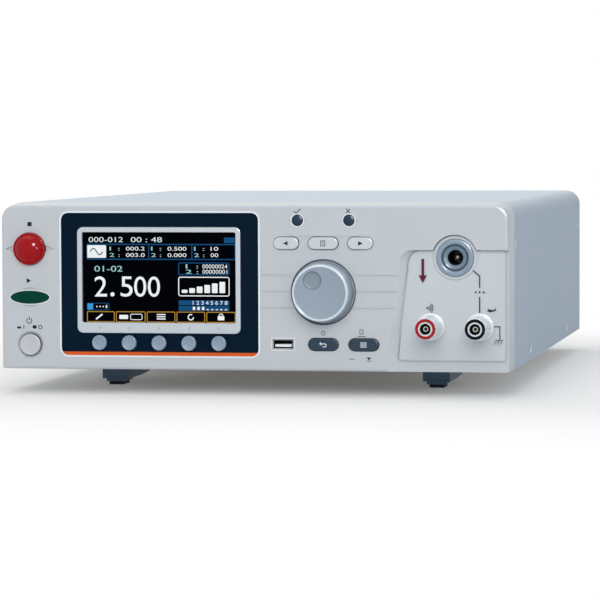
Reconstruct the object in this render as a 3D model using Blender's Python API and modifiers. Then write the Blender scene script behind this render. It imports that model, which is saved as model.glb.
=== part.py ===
"""Hipot tester: a bench instrument built as separate pieces, in metres.

X runs to the right as seen from the front, +Y runs from the front panel to the back and +Z is up.
The origin is the middle of the instrument's box, on the surface that its feet stand on.
Panel coordinates are (x, depth, z): depth counts back from the front face, z up from the housing's
underside. `seat` turns them into world places.
"""
import math

import bmesh
import bpy
from mathutils import Matrix, Vector

MM = 0.001

# Clearances, how far a cutter runs past a face, and how far joined blocks run into each other
GAP = 0.3 * MM
SLIDE_GAP = 0.35 * MM
RING_GAP = 0.1 * MM
OVERRUN = 5.0 * MM
LAP = 1.0 * MM

# Front panel columns, from the left edge to the right
CONTROL_COLUMN = 40.0 * MM
CONTROL_INSET = 19.5 * MM
FRAME_MARGIN_LEFT = 10.3 * MM
WINDOW_WIDTH = 97.9 * MM
FRAME_SIDE_LIP = 3.0 * MM
FRAME_MARGIN_RIGHT = 11.1 * MM
KEY_COLUMN = 80.0 * MM
KEY_COLUMN_INSET = 40.9 * MM
TERMINAL_COLUMN = 76.7 * MM

# Front panel rows, from the underside up
STRIP_RISE = 8.8 * MM
STRIP_HEIGHT = 2.1 * MM
SOFT_KEY_ROW = 11.9 * MM
FRAME_LOWER_LIP = 6.5 * MM
WINDOW_HEIGHT = 56.4 * MM
FRAME_UPPER_LIP = 3.1 * MM
PANEL_HEAD = 8.9 * MM
TOP_MARGIN = 6.3 * MM

# Housing
BODY_DEPTH = 456.7 * MM
BEZEL_DEPTH = 21.6 * MM
BEZEL_WALL = 2.6 * MM
FACE_WALL = 3.6 * MM
BEZEL_DRAFT = 1.4 * MM
FACE_FILLET = 1.6 * MM
CORNER_RADIUS = 9.0 * MM
FOOT_CORNER_RADIUS = 1.2 * MM
SHEET = 1.2 * MM
COVER_CORNER_RADIUS = 10.0 * MM
COVER_CORNER_STEPS = 10
COVER_JOINT = 0.6 * MM
TRAY_FLANGE = 17.0 * MM
EAR_LENGTH = 19.0 * MM
REAR_RIM = 2.0 * MM
REAR_SHEET = 1.6 * MM
REAR_FLANGE_MARGIN = 8.0 * MM
SLOT_COLUMNS = (-50.0 * MM, 10.0 * MM)
SLOT_ROWS = 5
SLOT_START = 158.0 * MM
SLOT_PITCH = 14.0 * MM
SLOT_LENGTH = 44.0 * MM
SLOT_WIDTH = 4.0 * MM

# Display
PANEL_POCKET = 2.3 * MM
PANEL_RADIUS = 4.5 * MM
PANEL_SHADOW = 0.2 * MM
FRAME_RADIUS = 3.5 * MM
FRAME_OPENING_RADIUS = 1.0 * MM
FRAME_PROUD = 0.8 * MM
WINDOW_LAP = 1.6 * MM
LCD_LAP = 4.0 * MM
LCD_THICKNESS = 5.2 * MM
LCD_POST_WIDTH = 4.0 * MM
LCD_POST_INSET = 6.0 * MM

# Keys and buttons
SCREEN_MARGIN = 1.375 * MM
SOFT_KEY_DIAMETER = 9.3 * MM
SOFT_KEY_LIFT = 5.8 * MM
SOFT_KEY_PROUD = 1.4 * MM
KEY_TRAVEL = 1.0 * MM
KEY_PROUD = 1.3 * MM
PAGE_KEY_DROP = 24.95 * MM
PAGE_KEY_HEIGHT = 7.5 * MM
PAGE_KEY_PITCH = 23.2 * MM
SIDE_KEY_LENGTH = 15.9 * MM
PAGE_KEY_LENGTH = 18.8 * MM
PAGE_BAND_HEIGHT = 8.9 * MM
PAGE_BAND_DEPTH = 0.5 * MM
LOWER_ROW_RISE = 16.6 * MM
LOWER_ROW_PITCH = 25.25 * MM
LOWER_KEY_LENGTH = 19.0 * MM
LOWER_KEY_HEIGHT = 7.7 * MM
KEY_FLANGE = 0.9 * MM
KEY_ROUNDING = 0.7 * MM
CAP_POST_WIDTH = 3.0 * MM
STOP_RISE = 75.2 * MM
STOP_DIAMETER = 20.0 * MM
STOP_DOME = 6.4 * MM
STOP_DOME_STEPS = 6
STOP_POST_DIAMETER = 5.0 * MM
STOP_SKIRT = 1.6 * MM
STOP_TRAVEL = 2.5 * MM
WING_LENGTH = 31.2 * MM
WING_HEIGHT = 7.4 * MM
WING_DEPTH = 1.2 * MM
START_RISE = 44.8 * MM
START_LENGTH = 24.3 * MM
START_HEIGHT = 7.6 * MM
START_PROUD = 1.3 * MM
START_TRAVEL = 1.5 * MM
START_DISH_DIAMETER = 12.6 * MM
START_DISH_DEPTH = 0.8 * MM
POWER_RISE = 15.1 * MM
POWER_DIAMETER = 13.4 * MM
POWER_DISH_DIAMETER = 17.3 * MM
POWER_DISH_DEPTH = 1.4 * MM
POWER_PROUD = 1.2 * MM
POWER_TRAVEL = 3.6 * MM
POWER_RIM = 0.7 * MM
POWER_HOLLOW = 0.3 * MM
POWER_ROD_DIAMETER = 6.8 * MM
POWER_ROD_ENGAGED = 8.0 * MM
POWER_SWITCH_START = 27.0 * MM
POWER_SWITCH_LENGTH = 30.0 * MM
POWER_SWITCH_WALL = 4.0 * MM
POWER_STAND = 2.4 * MM

# Jog knob and grooves
KNOB_RAISE = 1.1 * MM
KNOB_REACH = 13.0 * MM
KNOB_DIAMETER = 37.6 * MM
KNOB_FACE_DIAMETER = 33.5 * MM
KNOB_RECESS_DIAMETER = 41.0 * MM
KNOB_RECESS_DEPTH = 1.8 * MM
KNOB_HOLLOW = 0.35 * MM
KNOB_RIM = 1.2 * MM
KNOB_CHAMFER = 0.8 * MM
KNOB_SKIRT = 1.5 * MM
KNOB_BORE_DEPTH = 7.0 * MM
FLUTES = 12
FLUTE_DEPTH = 0.7 * MM
FLUTE_RADIUS = 7.0 * MM
FLUTE_START = 2.0 * MM
DIMPLE_DIAMETER = 10.8 * MM
DIMPLE_DEPTH = 1.5 * MM
DIMPLE_ORBIT = 9.0 * MM
DIMPLE_ANGLE = math.radians(121)
DIMPLE_STEPS = 12
SHAFT_DIAMETER = 6.0 * MM
SHAFT_SEAT = 2.5 * MM
ENCODER_WIDTH = 12.4 * MM
ENCODER_DEPTH = 7.0 * MM
BUSH_WALL = 1.4 * MM
BUSH_HOLE_DIAMETER = 12.0 * MM
GROOVE_PITCH = 10.1 * MM
GROOVE_WIDTH = 1.1 * MM
GROOVE_DEPTH = 0.5 * MM
GROOVE_INSET = 2.0 * MM

# Indicator lenses and USB socket
LENS_DROP = 10.8 * MM
LENS_PITCH = 32.2 * MM
LENS_DIAMETER = 7.0 * MM
LENS_DOME = 0.9 * MM
LENS_FLANGE = 0.9 * MM
USB_WIDTH = 13.5 * MM
USB_HEIGHT = 6.5 * MM
USB_DEPTH = 14.0 * MM
USB_SHELL = 0.5 * MM
USB_TONGUE = 1.9 * MM
USB_TONGUE_RISE = 0.6 * MM
USB_TONGUE_INSET = 1.0 * MM
USB_TONGUE_RECESS = 1.0 * MM

# Key board behind the front panel
BOARD_THICKNESS = 1.6 * MM
BOARD_MARGIN = 2.0 * MM
KEY_BOARD_DEPTH = 16.4 * MM
ROD_HOLE_DIAMETER = 9.8 * MM
SWITCH_WIDTH = 6.0 * MM
SWITCH_HEIGHT = 3.4 * MM
LAMP_WIDTH = 3.0 * MM
USB_SEAT_HEIGHT = 4.0 * MM

# Terminal area
RECESS_DEPTH = 3.5 * MM
RECESS_TOP_DROP = 28.9 * MM
RECESS_LEAN = 9.2 * MM
RECESS_CORNER_RADIUS = 8.0 * MM
SLOPE_FOOT = 6.3 * MM
SLOPE_HEAD = 4.6 * MM
PLATE_RISE = 7.2 * MM
PLATE_SIDE_MARGIN = 3.2 * MM
PLATE_THICKNESS = 2.2 * MM
PLATE_PROUD = 0.5 * MM
PLATE_RADIUS = 2.0 * MM
BACKING_DEPTH = 8.2 * MM
HV_INSET = 34.2 * MM
HV_DROP = 33.7 * MM
HV_BOSS_DIAMETER = 28.0 * MM
HV_BOSS_PROUD = 0.8 * MM
HV_BOSS_WIDTH = 3.0 * MM
HV_CHAMFER = 0.7 * MM
HV_RING_DIAMETER = 23.0 * MM
HV_RING_PROUD = 2.4 * MM
HV_COLLAR_DIAMETER = 14.4 * MM
HV_COLLAR_DROP = 1.8 * MM
HV_GROOVE_WIDTH = 1.0 * MM
HV_GROOVE_DEPTH = 4.2 * MM
HV_FUNNEL_DEPTH = 3.2 * MM
HV_BORE_DIAMETER = 9.4 * MM
HV_BORE_DEPTH = 26.0 * MM
HV_LENGTH = 32.0 * MM
HV_CONTACT_DIAMETER = 4.0 * MM
HV_CONTACT_RECESS = 13.0 * MM
CONTACT_HOLE_DEPTH = 6.0 * MM
CONTACT_CHAMFER = 0.5 * MM
CONTACT_WALL = 1.1 * MM
POST_RISE = 27.8 * MM
POST_PITCH = 30.3 * MM
POST_REACH = 25.0 * MM
POST_BASE_DIAMETER = 17.4 * MM
POST_WAIST_DIAMETER = 14.8 * MM
POST_TIP_DIAMETER = 13.4 * MM
POST_RIM = 0.4 * MM
POST_FLANGE = 1.2 * MM
POST_WAIST_LENGTH = 6.0 * MM
POST_RING_WIDTH = 1.7 * MM
POST_RING_DEPTH = 1.4 * MM
POST_BORE_DIAMETER = 7.0 * MM
POST_CONTACT_RECESS = 7.0 * MM
POST_SHANK_DIAMETER = 10.0 * MM
POST_SHANK_LENGTH = 13.0 * MM
POST_TAIL = 4.0 * MM

# Feet
FOOT_HEIGHT = 13.5 * MM
PAD_HEIGHT = 2.0 * MM
FOOT_SPREAD = 105.0 * MM
FOOT_WIDTH = 17.5 * MM
FOOT_START = 75.0 * MM
FOOT_LENGTH = 63.0 * MM
FOOT_FLAT_LENGTH = 37.0 * MM
FOOT_TAIL_HEIGHT = 10.4 * MM
FOOT_BLOCK_LENGTH = 21.0 * MM
FOOT_ROUNDING = 1.5 * MM
FOOT_ROOF = 1.5 * MM
FOOT_STEP = 1.9 * MM
FOOT_STEP_WIDTH = 12.8 * MM
PAD_WIDTH = 9.4 * MM
PAD_INSET = 2.0 * MM
LEG_WIDTH = 9.4 * MM
LEG_PIVOT_INSET = 27.0 * MM
LEG_PIVOT_DROP = 7.2 * MM
LEG_ROOT_RADIUS = 4.4 * MM
LEG_TAIL_INSET = 1.0 * MM
LEG_TAPER = 0.4 * MM
LEG_PIN_DIAMETER = 4.0 * MM
LEG_PIN_REACH = 2.4 * MM
REAR_FOOT_LENGTH = 26.0 * MM
REAR_FOOT_INSET = 70.0 * MM
REAR_FOOT_TAPER = 2.5 * MM
PAD_SEAM = 0.05 * MM

# Screws on the cover's sides: depth and rise of each
SCREW_HEAD_DIAMETER = 5.4 * MM
SCREW_SHANK_DIAMETER = 3.0 * MM
FRONT_SCREW = (29.5 * MM, 78.5 * MM)
LOWER_SCREW_RISE = 7.3 * MM
LOWER_SCREW_DEPTH = 115.7 * MM
LOWER_SCREW_INSET = 99.5 * MM
REAR_SCREW_INSET = 17.1 * MM
REAR_SCREW_RISE = 79.0 * MM

# Fan
FAN_SIZE = 60.0 * MM
FAN_DEPTH = 25.0 * MM
FAN_WALL = 2.0 * MM
FAN_HUB_SHARE = 0.4
FAN_HUB_CHAMFER = 1.2 * MM
FAN_CORNER_RADIUS = 4.0 * MM
FAN_ARM = 3.0 * MM
FAN_ARM_INSET = 0.6 * MM
STATOR_THICKNESS = 4.0 * MM
FAN_TIP_GAP = 1.2 * MM
FAN_BLADES = 7
FAN_BLADE_CHORD = 16.0 * MM
FAN_BLADE_THICKNESS = 1.2 * MM
FAN_BLADE_PITCH = math.radians(38)
FAN_X = 112.0 * MM
FAN_RISE = 52.0 * MM
GUARD_WIRE = 1.6 * MM
GUARD_RINGS = 4
GUARD_EAR = 7.0 * MM

# Rear fittings, by place on the rear panel
INLET_X = -128.0 * MM
INLET_RISE = 34.0 * MM
INLET_WIDTH = 48.0 * MM
INLET_HEIGHT = 30.0 * MM
INLET_BODY_WIDTH = 27.5 * MM
INLET_BODY_HEIGHT = 20.0 * MM
INLET_BODY_DEPTH = 20.0 * MM
INLET_FLANGE = 2.0 * MM
INLET_WALL = 2.0 * MM
INLET_FOOT_RADIUS = 1.0 * MM
INLET_CORNER_RADIUS = 4.0 * MM
INLET_CAVITY_DEPTH = 16.0 * MM
FUSE_DRAWER_HEIGHT = 7.0 * MM
PIN_PITCH = 7.0 * MM
PIN_OFFSET = 2.0 * MM
PIN_WIDTH = 2.0 * MM
PIN_RECESS = 3.0 * MM
PORT_X = -78.0 * MM
PORT_WIDTH = 30.8 * MM
PORT_HEIGHT = 12.5 * MM
PORT_FLANGE = 1.0 * MM
PORT_BODY_DEPTH = 8.0 * MM
PORT_SHROUD_WIDTH = 17.2 * MM
PORT_SHROUD_HEIGHT = 8.0 * MM
PORT_SHROUD_TAPER = 0.8 * MM
PORT_SHROUD_RADIUS = 2.0 * MM
PORT_SHROUD_REACH = 5.0 * MM
PORT_RISES = (80.0 * MM, 58.0 * MM)
USB_B_RISE = 34.0 * MM
USB_B_WIDTH = 12.0 * MM
USB_B_HEIGHT = 11.0 * MM
USB_B_WALL = 1.75 * MM
USB_B_DEPTH = 12.0 * MM
USB_B_FLOOR = 4.0 * MM
OUTPUT_X = -38.0 * MM
OUTPUT_PITCH = 24.0 * MM
OUTPUT_RISES = (24.0 * MM, 50.0 * MM)
OUTPUT_COLUMNS = 4
OUTPUT_DIAMETER = 14.0 * MM
OUTPUT_COLLAR_DIAMETER = 16.0 * MM
OUTPUT_BORE_DIAMETER = 8.0 * MM
OUTPUT_DEPTH = 10.0 * MM
OUTPUT_REACH = 6.0 * MM
OUTPUT_BASE = 2.0 * MM
OUTPUT_LIP = 4.0 * MM

# Inside
TRAY_STANDOFF = 6.5 * MM
STANDOFF_WIDTH = 6.0 * MM
MAIN_BOARD_X = (-150.0 * MM, 44.0 * MM)
MAIN_BOARD_START = 92.0 * MM
MAIN_BOARD_REAR_INSET = 84.7 * MM
TOROID_DIAMETER = 92.0 * MM
TOROID_BORE_DIAMETER = 28.0 * MM
TOROID_HEIGHT = 44.0 * MM
TOROID_ROUNDING = 5.0 * MM
TOROID_X = 102.0 * MM
TOROID_PLACE = 0.705
HV_CORE_SIZE = (78.0 * MM, 66.0 * MM, 64.0 * MM)
HV_CORE_X = 104.0 * MM
HV_CORE_PLACE = 0.385
SINK_FINS = 11
SINK_FIN = 2.0 * MM
SINK_BASE = 4.0 * MM
SINK_WIDTH = 60.0 * MM
SINK_LENGTH = 110.0 * MM
SINK_HEIGHT = 42.0 * MM
SINK_X = -112.0 * MM
SINK_DEPTH = 150.0 * MM
RELAY_BOARD_INSET = 62.0 * MM
RELAY_BOARD_TOP = 68.0 * MM
RELAY_COUNT = 8
RELAY_WIDTH = 9.2 * MM
RELAY_DEPTH = 12.0 * MM
RELAY_RISE = 30.0 * MM
RELAY_HEIGHT = 30.0 * MM

# Places that follow from the sizes above
FRAME_WIDTH = WINDOW_WIDTH + 2 * FRAME_SIDE_LIP
SOFT_KEY_PITCH = (WINDOW_WIDTH - 2 * SCREEN_MARGIN) / 5
FRAME_HEIGHT = FRAME_LOWER_LIP + WINDOW_HEIGHT + FRAME_UPPER_LIP
PANEL_WIDTH = FRAME_MARGIN_LEFT + FRAME_WIDTH + FRAME_MARGIN_RIGHT
PANEL_RISE = STRIP_RISE + STRIP_HEIGHT
PANEL_HEIGHT = SOFT_KEY_ROW + FRAME_HEIGHT + PANEL_HEAD
BODY_WIDTH = CONTROL_COLUMN + PANEL_WIDTH + KEY_COLUMN + TERMINAL_COLUMN
BODY_HEIGHT = PANEL_RISE + PANEL_HEIGHT + TOP_MARGIN
RIGHT_X = BODY_WIDTH / 2
LEFT_X = -RIGHT_X
CONTROL_X = LEFT_X + CONTROL_INSET
PANEL_X = LEFT_X + CONTROL_COLUMN
FRAME_X = PANEL_X + FRAME_MARGIN_LEFT
FRAME_RISE = PANEL_RISE + SOFT_KEY_ROW
WINDOW_X = FRAME_X + FRAME_SIDE_LIP
WINDOW_RISE = FRAME_RISE + FRAME_LOWER_LIP
KEY_COLUMN_X = PANEL_X + PANEL_WIDTH
KEY_MIDDLE_X = KEY_COLUMN_X + KEY_COLUMN_INSET
PAGE_KEY_RISE = BODY_HEIGHT - PAGE_KEY_DROP
SOFT_KEY_RISE = PANEL_RISE + SOFT_KEY_LIFT
LENS_RISE = BODY_HEIGHT - LENS_DROP
USB_X = KEY_MIDDLE_X - LOWER_ROW_PITCH
FLANGE_FRONT = FACE_WALL + GAP
SWITCH_FRONT = KEY_BOARD_DEPTH - SWITCH_HEIGHT
KNOB_RISE = (PAGE_KEY_RISE + LOWER_ROW_RISE) / 2 + KNOB_RAISE
STEP_X = KEY_COLUMN_X + KEY_COLUMN
RECESS_TOP = BODY_HEIGHT - RECESS_TOP_DROP
HV_X = RIGHT_X - HV_INSET
HV_RISE = BODY_HEIGHT - HV_DROP
PLATE_FRONT = RECESS_DEPTH - PLATE_PROUD
PLATE_BACK = PLATE_FRONT + PLATE_THICKNESS
POST_TIP = PLATE_FRONT - POST_REACH
LEG_PIVOT_DEPTH = FOOT_START + LEG_PIVOT_INSET
REAR_SCREW = (BODY_DEPTH - REAR_SCREW_INSET, REAR_SCREW_RISE)
FAN_DUCT_DIAMETER = FAN_SIZE - 2 * FAN_WALL
FAN_HUB_DIAMETER = FAN_SIZE * FAN_HUB_SHARE
TOROID_DEPTH = BODY_DEPTH * TOROID_PLACE
HV_CORE_DEPTH = BODY_DEPTH * HV_CORE_PLACE
GROUND_DROP = FOOT_HEIGHT + PAD_HEIGHT
FACE_Y = (POST_REACH - PLATE_FRONT - BODY_DEPTH - OUTPUT_REACH + REAR_RIM) / 2
INSIDE_X = RIGHT_X - SHEET - GAP
FLOOR_TOP = GAP + SHEET
REAR_BACK = BODY_DEPTH - REAR_RIM
REAR_FRONT = REAR_BACK - REAR_SHEET
REAR_OUTSIDE = REAR_BACK + GAP
COVER_FRONT = BEZEL_DEPTH + COVER_JOINT
INSIDE_FLOOR = FLOOR_TOP + GAP
MAIN_BOARD_RISE = INSIDE_FLOOR + TRAY_STANDOFF

# The exact solver fails on a face that holds this many cuts
MANY_CUTS = "MANIFOLD"
SAME_PLACE = 0.001 * MM
SHARP_ANGLE = math.radians(32)
FLAT_ANGLE = math.radians(0.5)

PAINTS = {}


def srgb(code):
    """Linear colour from a hexadecimal sRGB code."""
    values = [int(code[i:i + 2], 16) / 255 for i in (0, 2, 4)]
    return [v / 12.92 if v <= 0.04045 else ((v + 0.055) / 1.055) ** 2.4 for v in values] + [1.0]


def paint(name, code, roughness, metallic=0.0):
    """Principled material of one colour."""
    if name not in PAINTS:
        material = bpy.data.materials.new(name)
        material.use_nodes = True
        shader = material.node_tree.nodes["Principled BSDF"]
        shader.inputs["Base Color"].default_value = srgb(code)
        shader.inputs["Roughness"].default_value = roughness
        shader.inputs["Metallic"].default_value = metallic
        PAINTS[name] = material
    return PAINTS[name]


def face_plastic():
    return paint("face_plastic", "BCC1C5", 0.45)


def pale_plastic():
    return paint("pale_plastic", "D5D9D8", 0.4)


def slate_plastic():
    return paint("slate_plastic", "34495A", 0.45)


def dark_plastic():
    return paint("dark_plastic", "22282D", 0.5)


def black_rubber():
    return paint("black_rubber", "15181A", 0.8)


def steel():
    return paint("plated_steel", "B9BCBE", 0.35, 1.0)


def brass():
    return paint("nickelled_brass", "C9C3B4", 0.25, 1.0)


def board_green():
    return paint("board_green", "2E5B3A", 0.5)


def clear_scene():
    for item in list(bpy.data.objects):
        bpy.data.objects.remove(item, do_unlink=True)


def make_collection(name):
    collection = bpy.data.collections.new(name)
    bpy.context.scene.collection.children.link(collection)
    return collection


def new_object(name, mesh):
    item = bpy.data.objects.new(name, mesh)
    CUTTERS.objects.link(item)
    return item


def evaluated_mesh(item):
    bpy.context.view_layer.update()
    graph = bpy.context.evaluated_depsgraph_get()
    return bpy.data.meshes.new_from_object(item.evaluated_get(graph))


def weld(mesh, flatten=False):
    """Closes the seams of a mesh, and turns the triangles of flat caps into single faces."""
    work = bmesh.new()
    work.from_mesh(mesh)
    bmesh.ops.remove_doubles(work, verts=work.verts, dist=SAME_PLACE)
    if flatten:
        bmesh.ops.dissolve_limit(work, angle_limit=FLAT_ANGLE, verts=work.verts, edges=work.edges)
    work.to_mesh(mesh)
    work.free()


def arc(centre_x, centre_z, radius, start, end, steps):
    """Points of an arc, both ends included."""
    turn = (end - start) / steps
    angles = [start + turn * i for i in range(steps + 1)]
    return [(centre_x + radius * math.cos(a), centre_z + radius * math.sin(a)) for a in angles]


def circle(centre_x, centre_z, diameter, sides=24):
    return arc(centre_x, centre_z, diameter / 2, 0, 2 * math.pi, sides)[:-1]


def filleted(corners, steps=4):
    """Closed outline of (x, z, radius) corners, each turned into an arc of its radius."""
    points = []
    for index, (x, z, radius) in enumerate(corners):
        here = Vector((x, z))
        before = Vector(corners[index - 1][:2]) - here
        after = Vector(corners[(index + 1) % len(corners)][:2]) - here
        if radius == 0:
            points.append((x, z))
            continue
        half = before.angle(after) / 2
        middle = here + (before.normalized() + after.normalized()).normalized() * (radius / math.sin(half))
        first = here + before.normalized() * (radius / math.tan(half)) - middle
        last = here + after.normalized() * (radius / math.tan(half)) - middle
        start = math.atan2(first.y, first.x)
        sweep = (math.atan2(last.y, last.x) - start + math.pi) % (2 * math.pi) - math.pi
        for point in arc(middle.x, middle.y, radius, start, start + sweep, steps):
            if not points or math.dist(point, points[-1]) > SAME_PLACE:
                points.append(point)
    if math.dist(points[0], points[-1]) < SAME_PLACE:
        points.pop()
    return points


def rectangle(low_x, high_x, low_z, high_z, radius=0, steps=4):
    places = ((low_x, low_z), (high_x, low_z), (high_x, high_z), (low_x, high_z))
    return filleted([(x, z, radius) for x, z in places], steps)


def stadium(centre_x, centre_z, length, height, steps=3):
    half_l = length / 2
    half_h = height / 2
    return rectangle(centre_x - half_l, centre_x + half_l, centre_z - half_h, centre_z + half_h,
                     half_h, steps)


def almond(centre_x, centre_z, length, height, steps=8):
    """Pointed oval of two arcs."""
    radius = (length ** 2 + height ** 2) / (4 * height)
    spread = math.asin(length / 2 / radius)
    drop = radius - height / 2
    upper = arc(centre_x, centre_z - drop, radius, math.pi / 2 - spread, math.pi / 2 + spread, steps)
    lower = arc(centre_x, centre_z + drop, radius, -math.pi / 2 - spread, -math.pi / 2 + spread, steps)
    return upper[:-1] + lower[:-1]


def oval(centre_x, centre_z, length, height, sides=28):
    """Ellipse as an outline."""
    return [(centre_x + (x - centre_x) * length, centre_z + (z - centre_z) * height)
            for x, z in arc(centre_x, centre_z, 0.5, 0, 2 * math.pi, sides)[:-1]]


PLANES = {
    "front": Matrix.Rotation(math.pi / 2, 4, "X"),
    "side": Matrix(((0, 0, 1, 0), (1, 0, 0, 0), (0, 1, 0, 0), (0, 0, 0, 1))),
    "flat": Matrix.Identity(4),
}


def plate(name, outlines, start, end, plane="front"):
    """Flat piece: the first outline is its edge and the others are its holes.

    In the front plane outlines are (x, z) and the piece runs from depth start to depth end, in the
    side plane they are (depth, z) between two x, and in the flat plane (x, depth) between two z.
    """
    curve = bpy.data.curves.new(name, "CURVE")
    curve.dimensions = "2D"
    curve.fill_mode = "BOTH"
    curve.extrude = abs(end - start) / 2
    for outline in outlines:
        spline = curve.splines.new("POLY")
        spline.points.add(len(outline) - 1)
        for point, (across, up) in zip(spline.points, outline):
            point.co = (across, up, 0, 1)
        spline.use_cyclic_u = True
    guide = bpy.data.objects.new(name + "_outline", curve)
    CUTTERS.objects.link(guide)
    mesh = evaluated_mesh(guide)
    bpy.data.objects.remove(guide)
    middle = (start + end) / 2
    shift = {"front": (0, middle, 0), "side": (middle, 0, 0), "flat": (0, 0, middle)}[plane]
    mesh.transform(Matrix.Translation(shift) @ PLANES[plane])
    weld(mesh, flatten=len(outlines) == 1)
    return new_object(name, mesh)


def block(name, low, high):
    """Box between two (x, depth, z) corners."""
    size = [b - a for a, b in zip(low, high)]
    middle = [(a + b) / 2 for a, b in zip(low, high)]
    work = bmesh.new()
    bmesh.ops.create_cube(work, size=1)
    bmesh.ops.scale(work, vec=size, verts=work.verts)
    bmesh.ops.translate(work, vec=middle, verts=work.verts)
    mesh = bpy.data.meshes.new(name)
    work.to_mesh(mesh)
    work.free()
    return new_object(name, mesh)


def turned(name, profile, x, z, sides=24, ring=False, plane="front"):
    """Turned piece round an axis square to the plane: the profile is (radius, depth) points.

    A solid piece's profile starts on the axis at the front, runs out and down its outer side and
    ends on the axis at the back. A ring's profile runs down the outer side and up the inner one.
    """
    work = bmesh.new()
    verts = [work.verts.new((radius, 0, -depth)) for radius, depth in profile]
    ends = verts[1:] + verts[:1] if ring else verts[1:]
    for first, last in zip(verts, ends):
        work.edges.new((first, last))
    mesh = bpy.data.meshes.new(name)
    work.to_mesh(mesh)
    work.free()
    guide = bpy.data.objects.new(name + "_profile", mesh)
    CUTTERS.objects.link(guide)
    screw = guide.modifiers.new("turn", "SCREW")
    screw.axis = "Z"
    screw.steps = sides
    screw.render_steps = sides
    screw.use_merge_vertices = True
    screw.merge_threshold = SAME_PLACE
    solid = evaluated_mesh(guide)
    bpy.data.objects.remove(guide)
    place = (x, 0, z) if plane == "front" else (x, z, 0)
    solid.transform(Matrix.Translation(place) @ PLANES[plane])
    return new_object(name, solid)


def loft(name, sections):
    """Solid between outlines of equal length, given as (depth, outline) from front to back."""
    work = bmesh.new()
    rings = [[work.verts.new((x, depth, z)) for x, z in outline] for depth, outline in sections]
    for near, far in zip(rings, rings[1:]):
        for i in range(len(near)):
            j = (i + 1) % len(near)
            work.faces.new((near[i], near[j], far[j], far[i]))
    work.faces.new(rings[0])
    work.faces.new(rings[-1])
    bmesh.ops.recalc_face_normals(work, faces=work.faces)
    mesh = bpy.data.meshes.new(name)
    work.to_mesh(mesh)
    work.free()
    return new_object(name, mesh)


def gather(name, items):
    """One object holding the separate bodies of several."""
    work = bmesh.new()
    for item in items:
        work.from_mesh(item.data)
        bpy.data.objects.remove(item)
    mesh = bpy.data.meshes.new(name)
    work.to_mesh(mesh)
    work.free()
    return new_object(name, mesh)


def combine(item, tools, operation, solver):
    """Boolean of an object with one or more tools, kept as a settled mesh."""
    tool = gather(item.name + "_" + operation.lower(), tools)
    tool.hide_render = True
    tool.display_type = "WIRE"
    change = item.modifiers.new("shape", "BOOLEAN")
    change.operation = operation
    change.solver = solver
    change.object = tool
    mesh = evaluated_mesh(item)
    item.modifiers.clear()
    item.data = mesh
    weld(mesh)
    return item


def cut(item, *tools, solver="EXACT"):
    return combine(item, tools, "DIFFERENCE", solver)


def join(item, *tools, solver="EXACT"):
    return combine(item, tools, "UNION", solver)


def round_rim(item, depth, radius, steps=2):
    """Rounds the rim of the flat end that lies at a depth."""
    work = bmesh.new()
    work.from_mesh(item.data)
    rim = []
    for edge in work.edges:
        if all(abs(v.co.y - depth) < SAME_PLACE for v in edge.verts) and edge.calc_face_angle(0) > 0.5:
            rim.append(edge)
    bmesh.ops.bevel(work, geom=rim, offset=radius, offset_type="OFFSET", segments=steps, profile=0.5,
                    affect="EDGES", clamp_overlap=True)
    work.to_mesh(item.data)
    work.free()
    return item


def seat(item, name, material, origin=None):
    """Finishes a piece: its name, material and place, with its origin where it turns or slides."""
    if origin is None:
        corners = [Vector(c) for c in item.bound_box]
        origin = (corners[0] + corners[6]) / 2
    origin = Vector(origin)
    item.data.transform(Matrix.Translation(-origin))
    item.location = origin + Vector((0, FACE_Y, GROUND_DROP))
    item.name = name
    item.data.name = name
    item.data.materials.clear()
    item.data.materials.append(material)
    item.data.shade_smooth()
    item.data.set_sharp_from_angle(angle=SHARP_ANGLE)
    CUTTERS.objects.unlink(item)
    PARTS.objects.link(item)
    return item


def housing(name, low, high, corner, foot_corner, draft, fillet):
    """Box with rounded upper corners whose walls lean in towards a front with a rounded rim."""
    item = block(name, low, high)
    work = bmesh.new()
    work.from_mesh(item.data)
    for radius, level, steps in ((corner, high[2], 5), (foot_corner, low[2], 2)):
        edges = [e for e in work.edges if all(abs(v.co.z - level) < SAME_PLACE for v in e.verts)
                 and abs(e.verts[0].co.y - e.verts[1].co.y) > SAME_PLACE]
        bmesh.ops.bevel(work, geom=edges, offset=radius, offset_type="OFFSET", segments=steps, profile=0.5,
                        affect="EDGES")
    for vert in work.verts:
        if abs(vert.co.y - low[1]) < SAME_PLACE:
            vert.co.x *= 1 - 2 * draft / (high[0] - low[0])
            vert.co.z = low[2] + (vert.co.z - low[2]) * (1 - draft / (high[2] - low[2]))
    work.to_mesh(item.data)
    work.free()
    if fillet:
        round_rim(item, low[1], fillet, 2)
    return item


def recess_outline(lower_shift, upper_shift, top_drop):
    """Edge of the stepped-back terminal area: leans to the right, round at its upper left."""
    top = RECESS_TOP - top_drop
    lean_rate = (RECESS_LEAN + upper_shift - lower_shift) / RECESS_TOP
    foot_x = STEP_X + lower_shift - lean_rate * OVERRUN
    head_x = STEP_X + lower_shift + lean_rate * top
    return filleted([
        (foot_x, -OVERRUN, 0),
        (RIGHT_X + OVERRUN, -OVERRUN, 0),
        (RIGHT_X + OVERRUN, top, 0),
        (head_x, top, RECESS_CORNER_RADIUS),
    ], 6)


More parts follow.
